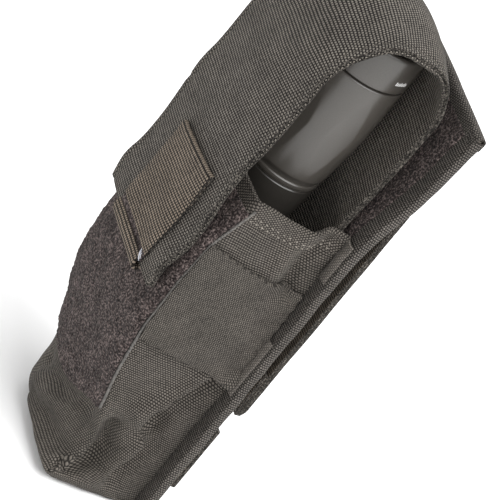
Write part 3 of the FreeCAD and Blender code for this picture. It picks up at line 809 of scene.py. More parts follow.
# Folds of the slack cloth: path, half width and rise, in millimetres.
WALL_FOLDS = [
    ([(25, 15.0, 57.0), (25, 7.3, 55.5), (25, 4.4, 43.0), (25, -1.9, 35.7)], 3.0, 1.6),
    ([(25, 12.0, 54.0), (25, 10.0, 48.0), (25, 8.0, 40.0), (25, 3.5, 31.0)], 3.8, -2.4),
    ([(25, -1.9, 35.7), (25, 5.2, 25.1), (25, 1.8, 8.0)], 3.0, 1.5),
    ([(25, 5.5, 33.0), (25, 9.0, 25.0), (25, 6.0, 10.0)], 3.4, -2.2),
    ([(25, -6.0, 27.0), (25, -3.5, 18.0), (25, -5.0, 9.5)], 2.8, -2.6),
    ([(25, -13.5, 8.4), (25, -8.0, 7.2)], 2.0, -3.6),
    ([(25, -14.0, 12.2), (25, -8.0, 11.4), (25, -3.0, 9.0)], 1.8, 1.2),
    ([(25, 10.8, 93.8), (25, 9.3, 103.6), (25, 12.6, 114.1)], 2.4, -1.6),
    ([(25, 4.0, 97.0), (25, 3.0, 106.0), (25, 6.0, 115.0)], 3.0, 0.9),
    ([(25, 7.0, 57.5), (25, 12.0, 55.5)], 1.8, -1.8),
    ([(14, -16, 22.0), (2, -16, 14.0), (-6, -15, 12.0)], 3.0, 1.0),
    ([(20, -14, 26.0), (8, -16, 20.5), (-8, -14, 18.0)], 2.6, -1.2),
    ([(24, -16, 5.0), (8, -16, 5.2), (-4, -15, 5.6)], 1.8, 0.8),
    ([(24, -12, 9.5), (10, -15.5, 9.8), (-2, -15, 10.5)], 2.4, -1.3),
    ([(-25, 14.0, 57.0), (-25, 6.0, 54.0), (-25, 5.0, 42.0), (-25, 0.0, 33.0)], 2.4, 1.4),
    ([(-25, 12.0, 53.0), (-25, 9.5, 46.0), (-25, 5.5, 35.0)], 3.0, -2.0),
    ([(-25, 2.0, 30.0), (-25, 6.0, 20.0), (-24, 4.0, 8.0)], 2.6, 1.4),
    ([(-25, 10.0, 94.0), (-25, 9.0, 104.0), (-25, 12.0, 114.0)], 2.4, -1.5),
]
WALL = build_wall()
WALL_NORMALS = net_normals(WALL)


def wall_point(a, h, lift=0.0):
    """Point on the pouch's outside, or above it by a lift."""
    return pick(WALL, a, h) + pick(WALL_NORMALS, a, h) * np.asarray(lift)[..., None]


def wall_row(z):
    """Share down the wall at which it reaches a height."""
    return FOOT * (WALL_TOP - np.asarray(z, float)) / (WALL_TOP - 0.7)


# ---- finishes ------------------------------------------------------------------------------------
def pouch_cloth(name="pouch_cloth", turn=0.0):
    """Plain nylon of the pouch's walls and hem."""
    bag = bpy.context.scene.pouch_bag
    return bpy.data.materials.get(name) or woven_finish(
        name, tuple(bag.cloth_dark), tuple(bag.cloth_light), bag.cloth_pitch, bag.cloth_pitch * 0.9,
        turn=turn, depth=0.00026)


def strap_weave(name="strap_weave", painted_light_share=1.0):
    """Coarse ribs of the flap strap, made paler by a share above one that is painted light."""
    flap = bpy.context.scene.pouch_flap
    return bpy.data.materials.get(name) or woven_finish(
        name, tuple(flap.strap_dark), scaled(flap.strap_light, painted_light_share), flap.rib_pitch, flap.yarn_pitch,
        depth=0.00040, waver=0.55)


def folded_edge(name="folded_edge"):
    """Darker edge of a folded strap, in soft tufts."""
    flap = bpy.context.scene.pouch_flap
    return bpy.data.materials.get(name) or fuzzy_finish(
        name, tuple(flap.strap_dark), scaled(flap.strap_light, 0.8), tuft=0.0005, depth=0.0003, sheen=0.03)


def webbing_weave(name="webbing_weave", turn=0.0):
    """Ribbed webbing."""
    belt = bpy.context.scene.pouch_belt
    return bpy.data.materials.get(name) or woven_finish(
        name, tuple(belt.webbing_dark), tuple(belt.webbing_light), belt.webbing_pitch,
        belt.webbing_pitch * 0.7, turn=turn, depth=0.00026, waver=0.4)


def loop_fuzz(name="loop_fuzz", painted_light_share=1.0):
    """Napped loop field, made paler by a share above one that is painted light."""
    bag = bpy.context.scene.pouch_bag
    return fuzzy_finish(name, tuple(bag.loop_dark), scaled(bag.loop_light, painted_light_share))


def hook_fuzz(name="hook_tape"):
    """Hook tape: stiff stubble in rows."""
    bag = bpy.context.scene.pouch_bag
    return fuzzy_finish(
        name, tuple(bag.loop_dark), scaled(bag.loop_light, 0.7), tuft=0.0004, depth=0.0004, sheen=0.1)


def edge_tape(name="edge_tape", turn=0.0):
    """Smooth, slightly shiny binding tape."""
    bag = bpy.context.scene.pouch_bag
    tape = tuple(bag.tape_colour)
    return bpy.data.materials.get(name) or woven_finish(
        name, scaled(tape, 0.05), tape, 0.00085, 0.0007, turn=turn, depth=0.00028, waver=0.5, roughness=0.7)


def satin_tape(name="satin_tape"):
    """Closely woven tape with a dull shine."""
    bag = bpy.context.scene.pouch_bag
    tape = tuple(bag.tape_colour)
    return bpy.data.materials.get(name) or woven_finish(
        name, scaled(tape, 0.45), scaled(tape, 1.35), 0.0006, 0.0009, depth=0.00012, waver=0.2,
        roughness=0.55, sheen=0.05)


def anodised(name="anodised_coat", share=1.0):
    """Satin black anodised metal, darkened by a share below one that is painted shade."""
    light = bpy.context.scene.pouch_light
    return solid_finish(
        name, scaled(light.coat_colour, share), light.coat_roughness, grain=0.00035, depth=0.000004,
        Specular_IOR_Level=0.6, Coat_Weight=0.12, Coat_Roughness=0.3)


# ---- operators: studio ---------------------------------------------------------------------------
class POUCH_OT_studio(bpy.types.Operator):
    """Sets up the camera, the pale floor and the soft lights"""
    bl_idname = "pouch.studio"
    bl_label = "Studio"

    def execute(self, context):
        studio = context.scene.pouch_studio
        self.camera(context, studio)
        deselect_all()
        bpy.ops.mesh.primitive_plane_add(size=8.0, location=(0, 0, 0))
        floor = context.object
        floor.name = "floor"
        floor.data.transform(Matrix.Translation((0, 0, -0.0002)))
        tree, shader, finish = new_finish("floor_finish", Roughness=0.9, Specular_IOR_Level=0.1)
        shade = tuple(studio.floor_colour)
        patches = grain_node(tree, 0.4)
        colour = ramp_node(tree, patches.outputs["Fac"], [(0.2, scaled(shade, 0.99)), (0.8, shade)])
        tree.links.new(colour, shader.inputs["Base Color"])
        floor.data.materials.append(finish)
        world = bpy.data.worlds.new("room")
        world.use_nodes = True
        world.node_tree.nodes["Background"].inputs["Color"].default_value = (1.0, 1.0, 1.0, 1.0)
        world.node_tree.nodes["Background"].inputs["Strength"].default_value = studio.room_light
        context.scene.world = world
        context.scene.view_settings.view_transform = "Standard"
        self.area_light("key_light", (0.82, 0.22, 1.06), studio.key_power, 1.3)
        self.area_light("fill_light", (-0.5, -0.9, 0.55), studio.fill_power, 0.6)
        self.area_light("back_light", (0.15, 0.95, 0.7), studio.fill_power, 0.6)
        return {"FINISHED"}

    def camera(self, context, studio):
        """Camera looking down on the pouch's right front edge, held at a slant."""
        azimuth, elevation, roll = math.radians(53.95), math.radians(27.23), math.radians(38.63)
        back = Vector((math.sin(azimuth) * math.cos(elevation), -math.cos(azimuth) * math.cos(elevation),
                       math.sin(elevation)))
        level = Vector((math.cos(azimuth), math.sin(azimuth), 0))
        upright = back.cross(level)
        right = level * math.cos(roll) + upright * math.sin(roll)
        up = upright * math.cos(roll) - level * math.sin(roll)
        back = (back - right * 0.006377 + up * 0.007692).normalized()
        right = (right - back * right.dot(back)).normalized()
        up = back.cross(right)
        data = bpy.data.cameras.new("camera")
        data.lens = studio.lens
        data.sensor_width = 36.0
        data.clip_start, data.clip_end = 0.01, 20.0
        camera = bpy.data.objects.new("camera", data)
        context.collection.objects.link(camera)
        camera.matrix_world = Matrix.Translation((0.66417, -0.48351, 0.51372)) @ Matrix(
            (right, up, back)).transposed().to_4x4()
        context.scene.camera = camera

    def area_light(self, name, place, power, size):
        """Square soft light that looks at the pouch's middle."""
        data = bpy.data.lights.new(name, "AREA")
        data.energy = power
        data.size = size
        lamp = bpy.data.objects.new(name, data)
        bpy.context.collection.objects.link(lamp)
        lamp.location = place
        lamp.rotation_euler = (Vector(place) - Vector((0, 0, 0.09))).to_track_quat("Z", "Y").to_euler()


# ---- operators: flashlight -----------------------------------------------------------------------
FACETS = 6
FACET_FIRST = math.radians(2.0)
HEAD_STEPS = 288
RING_RADIUS = 15.08
FLUTES, FLUTE_DEPTH = 24, 0.45
# Index marks on the front ring: angles in degrees, and the height of their feet.
MARK_FIRST, MARK_STEP, MARK_WIDTH = 15.0, 2.3, 1.1
MARK_FOOT = 162.7
TAPER_LOW, TAPER_HIGH = 13.05, 14.85
# Distance of a facet's foot from the axis: where the taper stands 2.8 mm above its own foot.
FACET_FOOT_RADIUS = 13.0 + (TAPER_HIGH - 13.0) * 2.8 / 18.3


def head_profile():
    """Outline of the head from its foot up, then in at the neck, as (radius, z)."""
    foot = HEAD_FOOT
    outline = [(11.3, foot), (12.0, foot), (12.15, foot + 0.1), (12.15, foot + 0.6), (12.45, foot + 0.75),
               (12.6, foot + 0.95), (12.6, foot + 1.8), (12.45, foot + 2.05), (12.2, foot + 2.2),
               (12.2, foot + 2.9), (12.35, foot + 3.2), (12.9, foot + 4.05), (TAPER_LOW, foot + 4.3)]
    low, kink, top = foot + 4.3, foot + 22.5, GROOVE_Z - 0.75
    for step in range(1, 34):
        z = low + (kink - low) * step / 33
        outline.append((TAPER_LOW + (TAPER_HIGH - TAPER_LOW) * step / 33, z))
    for step in range(1, 34):
        outline.append((TAPER_HIGH + 0.05 * step / 33, kink + (top - kink) * step / 33))
    outline += [(14.86, GROOVE_Z - 0.6), (14.7, GROOVE_Z - 0.38), (14.4, GROOVE_Z - 0.3),
                (13.5, GROOVE_Z - 0.3), (13.5, GROOVE_Z + 3.85), (12.35, GROOVE_Z + 3.85)]
    return outline


def cut_facets(piece):
    """Flattens the head's side to six long planes that run out at both ends."""
    foot_z, top_z, foot_r, top_r = 124.4, 154.6, FACET_FOOT_RADIUS, 14.9
    soft = 0.05
    co = read_points(piece.data)
    radius = np.hypot(co[:, 0], co[:, 1])
    angle = np.arctan2(co[:, 1], co[:, 0])
    spread = 2 * math.pi / FACETS
    off = (angle - FACET_FIRST + spread / 2) % spread - spread / 2
    plane = foot_r + (top_r - foot_r) * (co[:, 2] - foot_z) / (top_z - foot_z)
    limit = plane / np.cos(off)
    outside = (radius > 12.7) & (co[:, 2] > foot_z - 2) & (co[:, 2] < top_z + 1)
    excess = radius - limit
    eased = radius - np.where(excess > soft, excess, np.where(
        excess > -soft, (excess + soft) ** 2 / (4 * soft), 0.0))
    final = np.where(outside, eased, radius)
    co[:, 0] *= final / radius
    co[:, 1] *= final / radius
    write_points(piece.data, co)


class POUCH_OT_light_head(bpy.types.Operator):
    """Turns the faceted head and the front ring, and marks the ring"""
    bl_idname = "pouch.light_head"
    bl_label = "Head and front ring"

    def execute(self, context):
        coat = anodised()
        head = lathe(head_profile() + [(12.35, 137.6), (11.3, 137.6)], HEAD_STEPS)
        cut_facets(head)
        smooth_shading(head, 30)
        dress(head, "head", "light", "anodised_black", coat, "head_shell")
        top, groove = LIGHT_TOP, GROOVE_Z
        ring = lathe([
            (13.55, groove + 0.3), (14.4, groove + 0.3), (14.7, groove + 0.38), (14.86, groove + 0.6),
            (14.9, groove + 0.9), (15.0, groove + 6.0), (RING_RADIUS, top - 1.5), (15.05, top - 1.0),
            (14.9, top - 0.5), (14.62, top - 0.16), (14.3, top - 0.03), (14.0, top), (13.75, top),
            (13.55, top - 0.08), (13.35, top - 0.35), (12.6, top - 3.6), (12.42, top - 4.4),
            (12.4, top - 5.0), (12.4, top - 5.9), (13.55, top - 5.9)], HEAD_STEPS)
        smooth_shading(ring, 30)
        dress(ring, "front_ring", "bezel", "anodised_black", coat, "bezel_ring")
        self.marks(context)
        return {"FINISHED"}

    def marks(self, context):
        """Short painted index marks round part of the front ring."""
        light = context.scene.pouch_light
        count = light.mark_count
        paint = solid_finish("index_paint", tuple(light.mark_colour), 0.5)
        pieces = []
        for index in range(count):
            middle = math.radians(MARK_FIRST + MARK_STEP * index)
            tall = 1.0 if index % 3 else 1.3

            def surface(u, v, middle=middle, tall=tall):
                angle = middle + (u - 0.5) * math.radians(MARK_WIDTH)
                x, y = RING_RADIUS * np.cos(angle), RING_RADIUS * np.sin(angle)
                return np.stack([x, y, MARK_FOOT + tall * v], -1)
            pieces.append(cloth(surface, 4, 4, 0.06, 0.0))
        dress(joined(pieces), "index_marks", "bezel", "lens_glass", paint)


class POUCH_OT_light_body(bpy.types.Operator):
    """Turns the battery tube and the fluted tail cap, and moulds the button"""
    bl_idname = "pouch.light_body"
    bl_label = "Tube, tail cap and button"

    def execute(self, context):
        # Painted shade: the tube and tail cap take the anodising at 0.55 of the head's tone, standing for the
        # shade under the head and inside the pouch.
        coat = anodised("anodised_body_painted_shade", 0.55)
        outline = [(9.6, 30.4), (10.3, 30.4), (10.6, 30.7), (10.6, 41.7), (11.2, 41.7), (11.4, 41.9)]
        for z in np.arange(47.4, 96.0, 6.0):
            outline += [(11.4, z), (11.2, z + 0.15), (10.95, z + 0.4), (10.9, z + 0.55), (10.9, z + 0.9),
                        (10.95, z + 1.0), (11.2, z + 1.25), (11.4, z + 1.4)]
        outline += [(11.4, 105.6), (11.45, 106.0), (11.6, 107.2), (12.2, 112.6), (12.3, 113.3), (12.3, 116.9),
                    (12.1, 117.2), (11.2, 117.25), (11.2, 121.8), (9.6, 121.8)]
        tube = lathe(outline, 160)
        smooth_shading(tube, 32)
        dress(tube, "battery_tube", "light", "anodised_black", coat, "body_tube")
        foot = LIGHT_FOOT
        cap = lathe([
            (8.2, foot), (11.0, foot), (11.5, foot + 0.15), (11.85, foot + 0.45), (12.0, foot + 0.9),
            (12.0, foot + 4.0), (12.0, foot + 4.8), (12.0, foot + 16.2), (12.0, foot + 17.0),
            (12.0, foot + 19.3), (11.8, foot + 19.8), (11.3, foot + 20.0), (10.65, foot + 20.0),
            (10.65, foot + 8.8), (9.2, foot + 8.8), (9.2, foot + 4.8), (6.6, foot + 4.8), (6.6, foot + 3.6),
            (8.2, foot + 3.6)], 288)
        co = read_points(cap.data)
        radius = np.hypot(co[:, 0], co[:, 1])
        fluted = (radius > 11.9) & (co[:, 2] > foot + 4.5) & (co[:, 2] < foot + 16.5)
        wave = np.maximum(0.0, np.cos(FLUTES * np.arctan2(co[:, 1], co[:, 0])))
        co[:, :2] *= np.where(fluted, 1 - FLUTE_DEPTH * wave ** 1.5 / radius, 1.0)[:, None]
        write_points(cap.data, co)
        smooth_shading(cap, 32)
        dress(cap, "tail_cap_shell", "tail", "anodised_black", coat, "tail_cap")
        button = lathe([
            (0.001, foot + 1.2), (2.2, foot + 1.25), (4.2, foot + 1.45), (5.4, foot + 1.85),
            (6.05, foot + 2.5), (6.35, foot + 3.3), (6.4, foot + 4.85), (8.8, foot + 4.85),
            (8.8, foot + 5.75), (0.001, foot + 5.75)], 96)
        smooth_shading(button, 35)
        rubber = solid_finish("button_rubber", (0.03, 0.03, 0.03), 0.62, grain=0.0005, depth=0.00003)
        dress(button, "rubber_button", "button", "rubber_black", rubber, "tail_button")
        return {"FINISHED"}


class POUCH_OT_light_inside(bpy.types.Operator):
    """Gives the lens, reflector, cell, boards, seals and springs their finishes"""
    bl_idname = "pouch.light_inside"
    bl_label = "Inside of the light"

    def execute(self, context):
        glass = solid_finish(
            "lens_glass_finish", (0.95, 0.97, 0.98), 0.04, depth=0.0, Transmission_Weight=1.0, IOR=1.5)
        rubber = solid_finish("seal_rubber", (0.025, 0.025, 0.025), 0.6, depth=0.00002)
        silver = solid_finish(
            "reflector_silver_finish", (0.86, 0.86, 0.87), 0.13, grain=0.0008, depth=0.000006, metallic=1.0)
        steel = solid_finish("spring_steel_finish", (0.62, 0.62, 0.62), 0.3, metallic=1.0)
        brass = solid_finish("brass_finish", (0.72, 0.53, 0.25), 0.32, metallic=1.0)
        board = solid_finish("circuit_lacquer", (0.03, 0.13, 0.06), 0.3)
        phosphor = solid_finish("emitter_phosphor", (0.86, 0.66, 0.12), 0.25, Coat_Weight=0.8)
        wrap = solid_finish("cell_wrap", (0.05, 0.08, 0.22), 0.28)
        plastic = solid_finish("switch_plastic_finish", (0.045, 0.045, 0.045), 0.5)
        for node, finish in {
            "lens": glass, "lens_seal": rubber, "reflector": silver, "led_emitter": phosphor,
            "led_board": board, "heat_pill": brass, "driver_board": board, "driver_spring": steel,
            "battery_cell": wrap, "battery_cap": steel, "head_seal": rubber, "tail_seal": rubber,
            "switch_module": plastic, "switch_plunger": plastic, "retaining_ring": brass,
            "tail_spring": steel,
        }.items():
            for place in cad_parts[node].material_slots:
                place.material = finish
        return {"FINISHED"}


# ---- operators: pouch ----------------------------------------------------------------------------
# Front face of the board as (y, z), from its foot up.
BOARD_FRONT = [
    (18.4, 0.4), (18.4, 20.0), (18.4, 45.0), (18.4, 70.0), (18.4, 95.0), (18.5, 110.0), (19.2, 119.0),
    (21.4, 130.0), (24.1, 142.0), (25.4, 153.0), (26.6, 165.6),
]
BOARD_PLY = 2.2
# The board's edge tape in section, as (distance from the middle, lift off the front face).
TAPE_WRAP = np.array([
    (24.2, 0.42), (26.6, 0.52), (28.2, 0.50), (29.5, 0.32), (30.05, 0.18), (30.3, -0.25), (30.33, -1.2),
    (30.3, -2.1), (30.05, -2.5), (29.5, -2.66), (28.2, -2.7), (26.8, -2.66),
])
SIDES = ((1, "right"), (-1, "left"))


class POUCH_OT_board(bpy.types.Operator):
    """Makes the stiff back with its loop field and edge tapes"""
    bl_idname = "pouch.board"
    bl_label = "Back board"

    def execute(self, context):
        core = ribbon(BOARD_FRONT, BOARD_HALF - 0.15, lift=-1.2, ripple=0.18, seed=2.0)
        board = cloth(core, 46, 120, BOARD_PLY, 0.6)
        dress(board, "back_board", "pouch", "nylon_black", pouch_cloth(), "back_panel")
        field = ribbon(BOARD_FRONT, 24.9, lift=0.45, ripple=0.15, seed=2.0, start=0.43, end=0.982)
        loops = cloth(field, 60, 120, 0.9, 0.4)
        raise_nap(loops, [(1.1, 0.22)])
        # Painted light: the back loop field is 1.25 times paler than the front's, to lift it out of the shade
        # of the strap and the light.
        fuzz = loop_fuzz("back_loop_fuzz_painted_light", 1.25)
        dress(loops, "back_loop_field", "pouch", "loop_black", fuzz, "back_loop_patch")
        for side, name in SIDES:
            tape = cloth(self.edge_surface(side), 14, 130, 0.55, 0.15)
            dress(tape, "edge_tape_" + name, "pouch", "binding_black", edge_tape(), "seam_binding_" + name)
        for side, name in SIDES:
            for low, high, place in ((54.0, 76.0, "low"), (102.0, 116.6, "high")):
                strip = cloth(self.strip_surface(side, low, high), 10, 40, 0.7, 0.2)
                dress(strip, "seam_strip_" + place + "_" + name, "pouch", "binding_black", satin_tape())
        top = cloth(self.top_surface(), 60, 12, 0.55, 0.15)
        dress(top, "edge_tape_top", "pouch", "binding_black", edge_tape("edge_tape_top_weave", math.pi / 2))
        return {"FINISHED"}

    def edge_surface(self, side):
        """Tape folded round one side edge of the board."""
        def surface(u, v):
            t = even_places(BOARD_FRONT, 0.006 + 0.988 * v)
            line = smooth_through(BOARD_FRONT, t)
            slope = unit(slope_at(BOARD_FRONT, t))
            fold = smooth_through(TAPE_WRAP, even_places(TAPE_WRAP, u))
            points = np.stack([side * fold[..., 0], line[..., 0] - slope[..., 1] * fold[..., 1],
                               line[..., 1] + slope[..., 0] * fold[..., 1]], axis=-1)
            points[..., 0] += side * 0.16 * waves(points, 7.0, 4.0)
            points[..., 1] += 0.12 * waves(points, 11.0, 9.0)
            return points
        return surface

    def strip_surface(self, side, low, high):
        """Short satin strip sewn over the seam between wall and board."""
        def surface(u, v):
            x = side * (25.4 + 3.9 * u)
            z = low + (high - low) * v
            y = BOARD_FACE - 0.75 - 0.5 * np.sin(math.pi * u)
            points = np.stack([x, y, z], axis=-1)
            points[..., 1] += 0.22 * waves(points, 6.0, 11.0)
            return points
        return surface

    def top_surface(self):
        """Tape folded over the board's top edge."""
        y, z = BOARD_FRONT[-1]
        wrap = np.array([(y - 0.75, z - 3.6), (y - 0.55, z - 2.0), (y - 0.35, z - 0.2), (y + 0.3, z + 0.35),
                         (y + 1.3, z + 0.4), (y + 2.3, z + 0.2), (y + 2.75, z - 0.6), (y + 2.65, z - 2.2),
                         (y + 2.45, z - 3.6)])

        def surface(u, v):
            fold = smooth_through(wrap, even_places(wrap, v))
            x = (2 * u - 1) * (BOARD_HALF + 0.4)
            points = np.stack([x, fold[..., 0], fold[..., 1]], axis=-1)
            points[..., 2] += 0.25 * waves(points, 14.0, 6.0)
            return points
        return surface


class POUCH_OT_wall(bpy.types.Operator):
    """Lofts the slack wall and bottom of the pouch as one sewn shell"""
    bl_idname = "pouch.wall"
    bl_label = "Wall and bottom"

    def execute(self, context):
        bag = context.scene.pouch_bag
        half = bag.cloth_thickness / MM / 2

        def side(u, v):
            points = wall_point(u, v, -half)
            points[..., 2] = np.maximum(points[..., 2], half + 0.15)
            return points
        shell = cloth(side, 168, 146, 2 * half, 0.3)
        dress(shell, "pouch_wall", "pouch", "nylon_black", pouch_cloth(), "front_panel", "side_gusset_right",
              "side_gusset_left", "bottom_panel")
        return {"FINISHED"}


class POUCH_OT_front(bpy.types.Operator):
    """Lays the loop field on the front and the rolled tape along its right edge"""
    bl_idname = "pouch.front"
    bl_label = "Front loop field"

    def execute(self, context):
        bag = context.scene.pouch_bag
        thick = bag.loop_thickness / MM

        def field(u, v):
            near = RIGHT_END - 0.008 + 0.022 * v ** 4
            a = near + (FRONT_END + 0.035 - near) * (1 - u)
            foot = 27.5 - 2.5 * np.sin(math.pi * np.clip(u / 0.9, 0, 1))
            foot = foot + 4.0 * np.clip((u - 0.6) / 0.4, 0, 1)
            return wall_point(a, wall_row(113.0 + (foot - 113.0) * v), thick / 2)
        patch = cloth(field, 190, 240, thick, 0.5)
        raise_nap(patch, [(1.3, 0.26), (0.6, 0.2)])
        dress(patch, "front_loop_field", "pouch", "loop_black", loop_fuzz(), "front_loop_patch")
        heights = np.linspace(114.5, 32.0, 24)
        down = np.linspace(0, 1, 24)
        line = wall_point(RIGHT_END - 0.012 + 0.022 * down ** 4, wall_row(heights), np.full(24, 0.7))
        piping = tube_along(line, 0.45)
        finish = speckled_finish(
            "piping_tape", 0.0006, (0.3, (0.030, 0.028, 0.026)), (0.7, (0.125, 0.115, 0.104)), 0.0002,
            Roughness=0.6, Sheen_Weight=0.05, Sheen_Roughness=0.4)
        dress(piping, "front_edge_piping", "pouch", "binding_black", finish)
        return {"FINISHED"}


# Elastic band at the board: heights of its edges, and how far they rise towards the front.
BAND_FOOT, BAND_TOP, BAND_SLANT = 56.2, 93.7, 5.9


class POUCH_OT_bands(bpy.types.Operator):
    """Sews the elastic bands across both sides"""
    bl_idname = "pouch.bands"
    bl_label = "Elastic bands"

    def execute(self, context):
        bag = context.scene.pouch_bag
        weave = woven_finish(
            "elastic_weave", tuple(bag.cloth_dark), scaled(bag.cloth_light, 0.88), 0.00056, 0.0008,
            turn=math.radians(42), depth=0.00022)
        ends = (("right", 0.012, RIGHT_END - 0.012), ("left", 0.988, CORNER_END + 0.012))
        for name, low_a, high_a in ends:
            def band(u, v, low_a=low_a, high_a=high_a):
                top = BAND_TOP + BAND_SLANT * u
                foot = BAND_FOOT + (BAND_SLANT - 0.5) * u
                a = low_a + (high_a - low_a) * u
                gather = 0.22 * np.sin(v * 58) * np.exp(-((u - 0.02) / 0.10) ** 2)
                return wall_point(a, wall_row(top + (foot - top) * v), 0.95 + gather)
            piece = cloth(band, 50, 54, 1.3, 0.35)
            dress(piece, "elastic_band_cloth_" + name, "pouch", "elastic_black", weave,
                  "elastic_band_" + name)
        return {"FINISHED"}


class POUCH_OT_mouth(bpy.types.Operator):
    """Folds the hem over the mouth's edge and bars its back corners"""
    bl_idname = "pouch.mouth"
    bl_label = "Mouth hem"

    def execute(self, context):
        fold = np.array([(0.12, 6.4), (0.22, 3.0), (0.22, 0.4), (0.0, -0.4), (-0.65, -0.6), (-1.25, -0.4),
                         (-1.5, 0.4), (-1.52, 3.0), (-1.5, 6.4)])

        def hem(u, v):
            section = smooth_through(fold, even_places(fold, v))
            down = np.maximum(section[..., 1], 0.0)
            points = wall_point(0.006 + 0.988 * u, wall_row(WALL_TOP - down), section[..., 0])
            points[..., 2] -= np.minimum(section[..., 1], 0.0)
            return points
        piece = cloth(hem, 168, 16, 0.4, 0.12)
        weave = pouch_cloth("hem_weave", math.radians(45))
        dress(piece, "mouth_hem", "pouch", "binding_black", weave, "mouth_binding")
        bars = []
        for side in (1, -1):
            for step in range(9):
                z = MOUTH_Z - 3.4 + 0.31 * step
                bars.append([(side * 25.2, BOARD_FACE - 0.5, z), (side * 26.1, BOARD_FACE - 0.7, z + 0.1),
                             (side * 27.0, BOARD_FACE - 0.5, z)])
        bar = stitches("corner_bars", "pouch", bars, length=2.2, radius=0.2, pitch=2.5)
        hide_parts("bartacks")
        return {"FINISHED"}


def bend_with_flap(piece):
    """Bakes a ply's place into its mesh."""
    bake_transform(piece)


class POUCH_OT_strap(bpy.types.Operator):
    """Lays the flap strap over the head: outer ply, lining, hook tape and edge stitches"""
    bl_idname = "pouch.strap"
    bl_label = "Flap strap"

    def execute(self, context):
        flap = context.scene.pouch_flap
        outer = flap.strap_thickness / MM
        inner = flap.lining_thickness / MM
        weave = strap_weave()
        stations = np.array([0, 0.07, 0.15, 0.85, 0.93, 1.0])
        spread = np.array([0, 0.045, 0.13, 0.87, 0.955, 1.0])

        def face(lift, half, detail):
            return lambda u, v: strap_face(np.interp(u, stations, spread), v, lift, half, detail)
        ply = cloth(face(-outer / 2, STRAP_HALF, True), 64, 230, outer, 0.4, edged=True)
        dress(ply, "strap_outer", None, "strap_black", weave, "flap_strap", "flap_tail", "flap_edge_right",
              "flap_edge_left", edge=folded_edge())
        bend_with_flap(ply)
        under = face(-outer - PLY_GAP - inner / 2, STRAP_HALF + LINING_PROUD, False)
        lining = cloth(under, 40, 210, inner, 0.35, edged=True)
        # Painted light: the lining's ribs are 1.4 times paler than the strap's, to lift the lining where the
        # strap shades it.
        dress(lining, "strap_lining", None, "strap_black", strap_weave("lining_weave_painted_light", 1.4), "flap_lining",
              edge=folded_edge())
        bend_with_flap(lining)
        low, high = strap_share(80.0), strap_share(112.0)

        def hooks(u, v):
            share = low + (high - low) * v
            return strap_face(0.05 + 0.9 * u, share, -outer - inner - 0.75, STRAP_HALF, False)
        tape = cloth(hooks, 44, 34, 0.9, 0.3)
        dress(tape, "strap_hook_tape", "flap", "hook_black", hook_fuzz(), "flap_hook_patch")
        rows = []
        shares = np.linspace(0.006, 0.72, 90)
        inset = STITCH_INSET / (2 * STRAP_HALF)
        for u in (inset, 1 - inset):
            rows.append(strap_face(np.full(90, u), shares, 0.0, STRAP_HALF, True))
        thread = stitches("strap_edge_stitches", None, rows, length=2.1, radius=0.2, pitch=2.9)
        bend_with_flap(thread)
        return {"FINISHED"}


# Corners of the pull tab as (x, z): foot left, foot right, top left, top right.
TAB_CORNERS = ((-11.1, 83.0), (16.5, 82.0), (-9.2, 113.1), (18.6, 115.3))


def on_strap(x, z, lift):
    """Point above the strap's outer face on its front part."""
    return strap_face(0.5 + x / (2 * STRAP_HALF), strap_share(z), lift, STRAP_HALF, False)


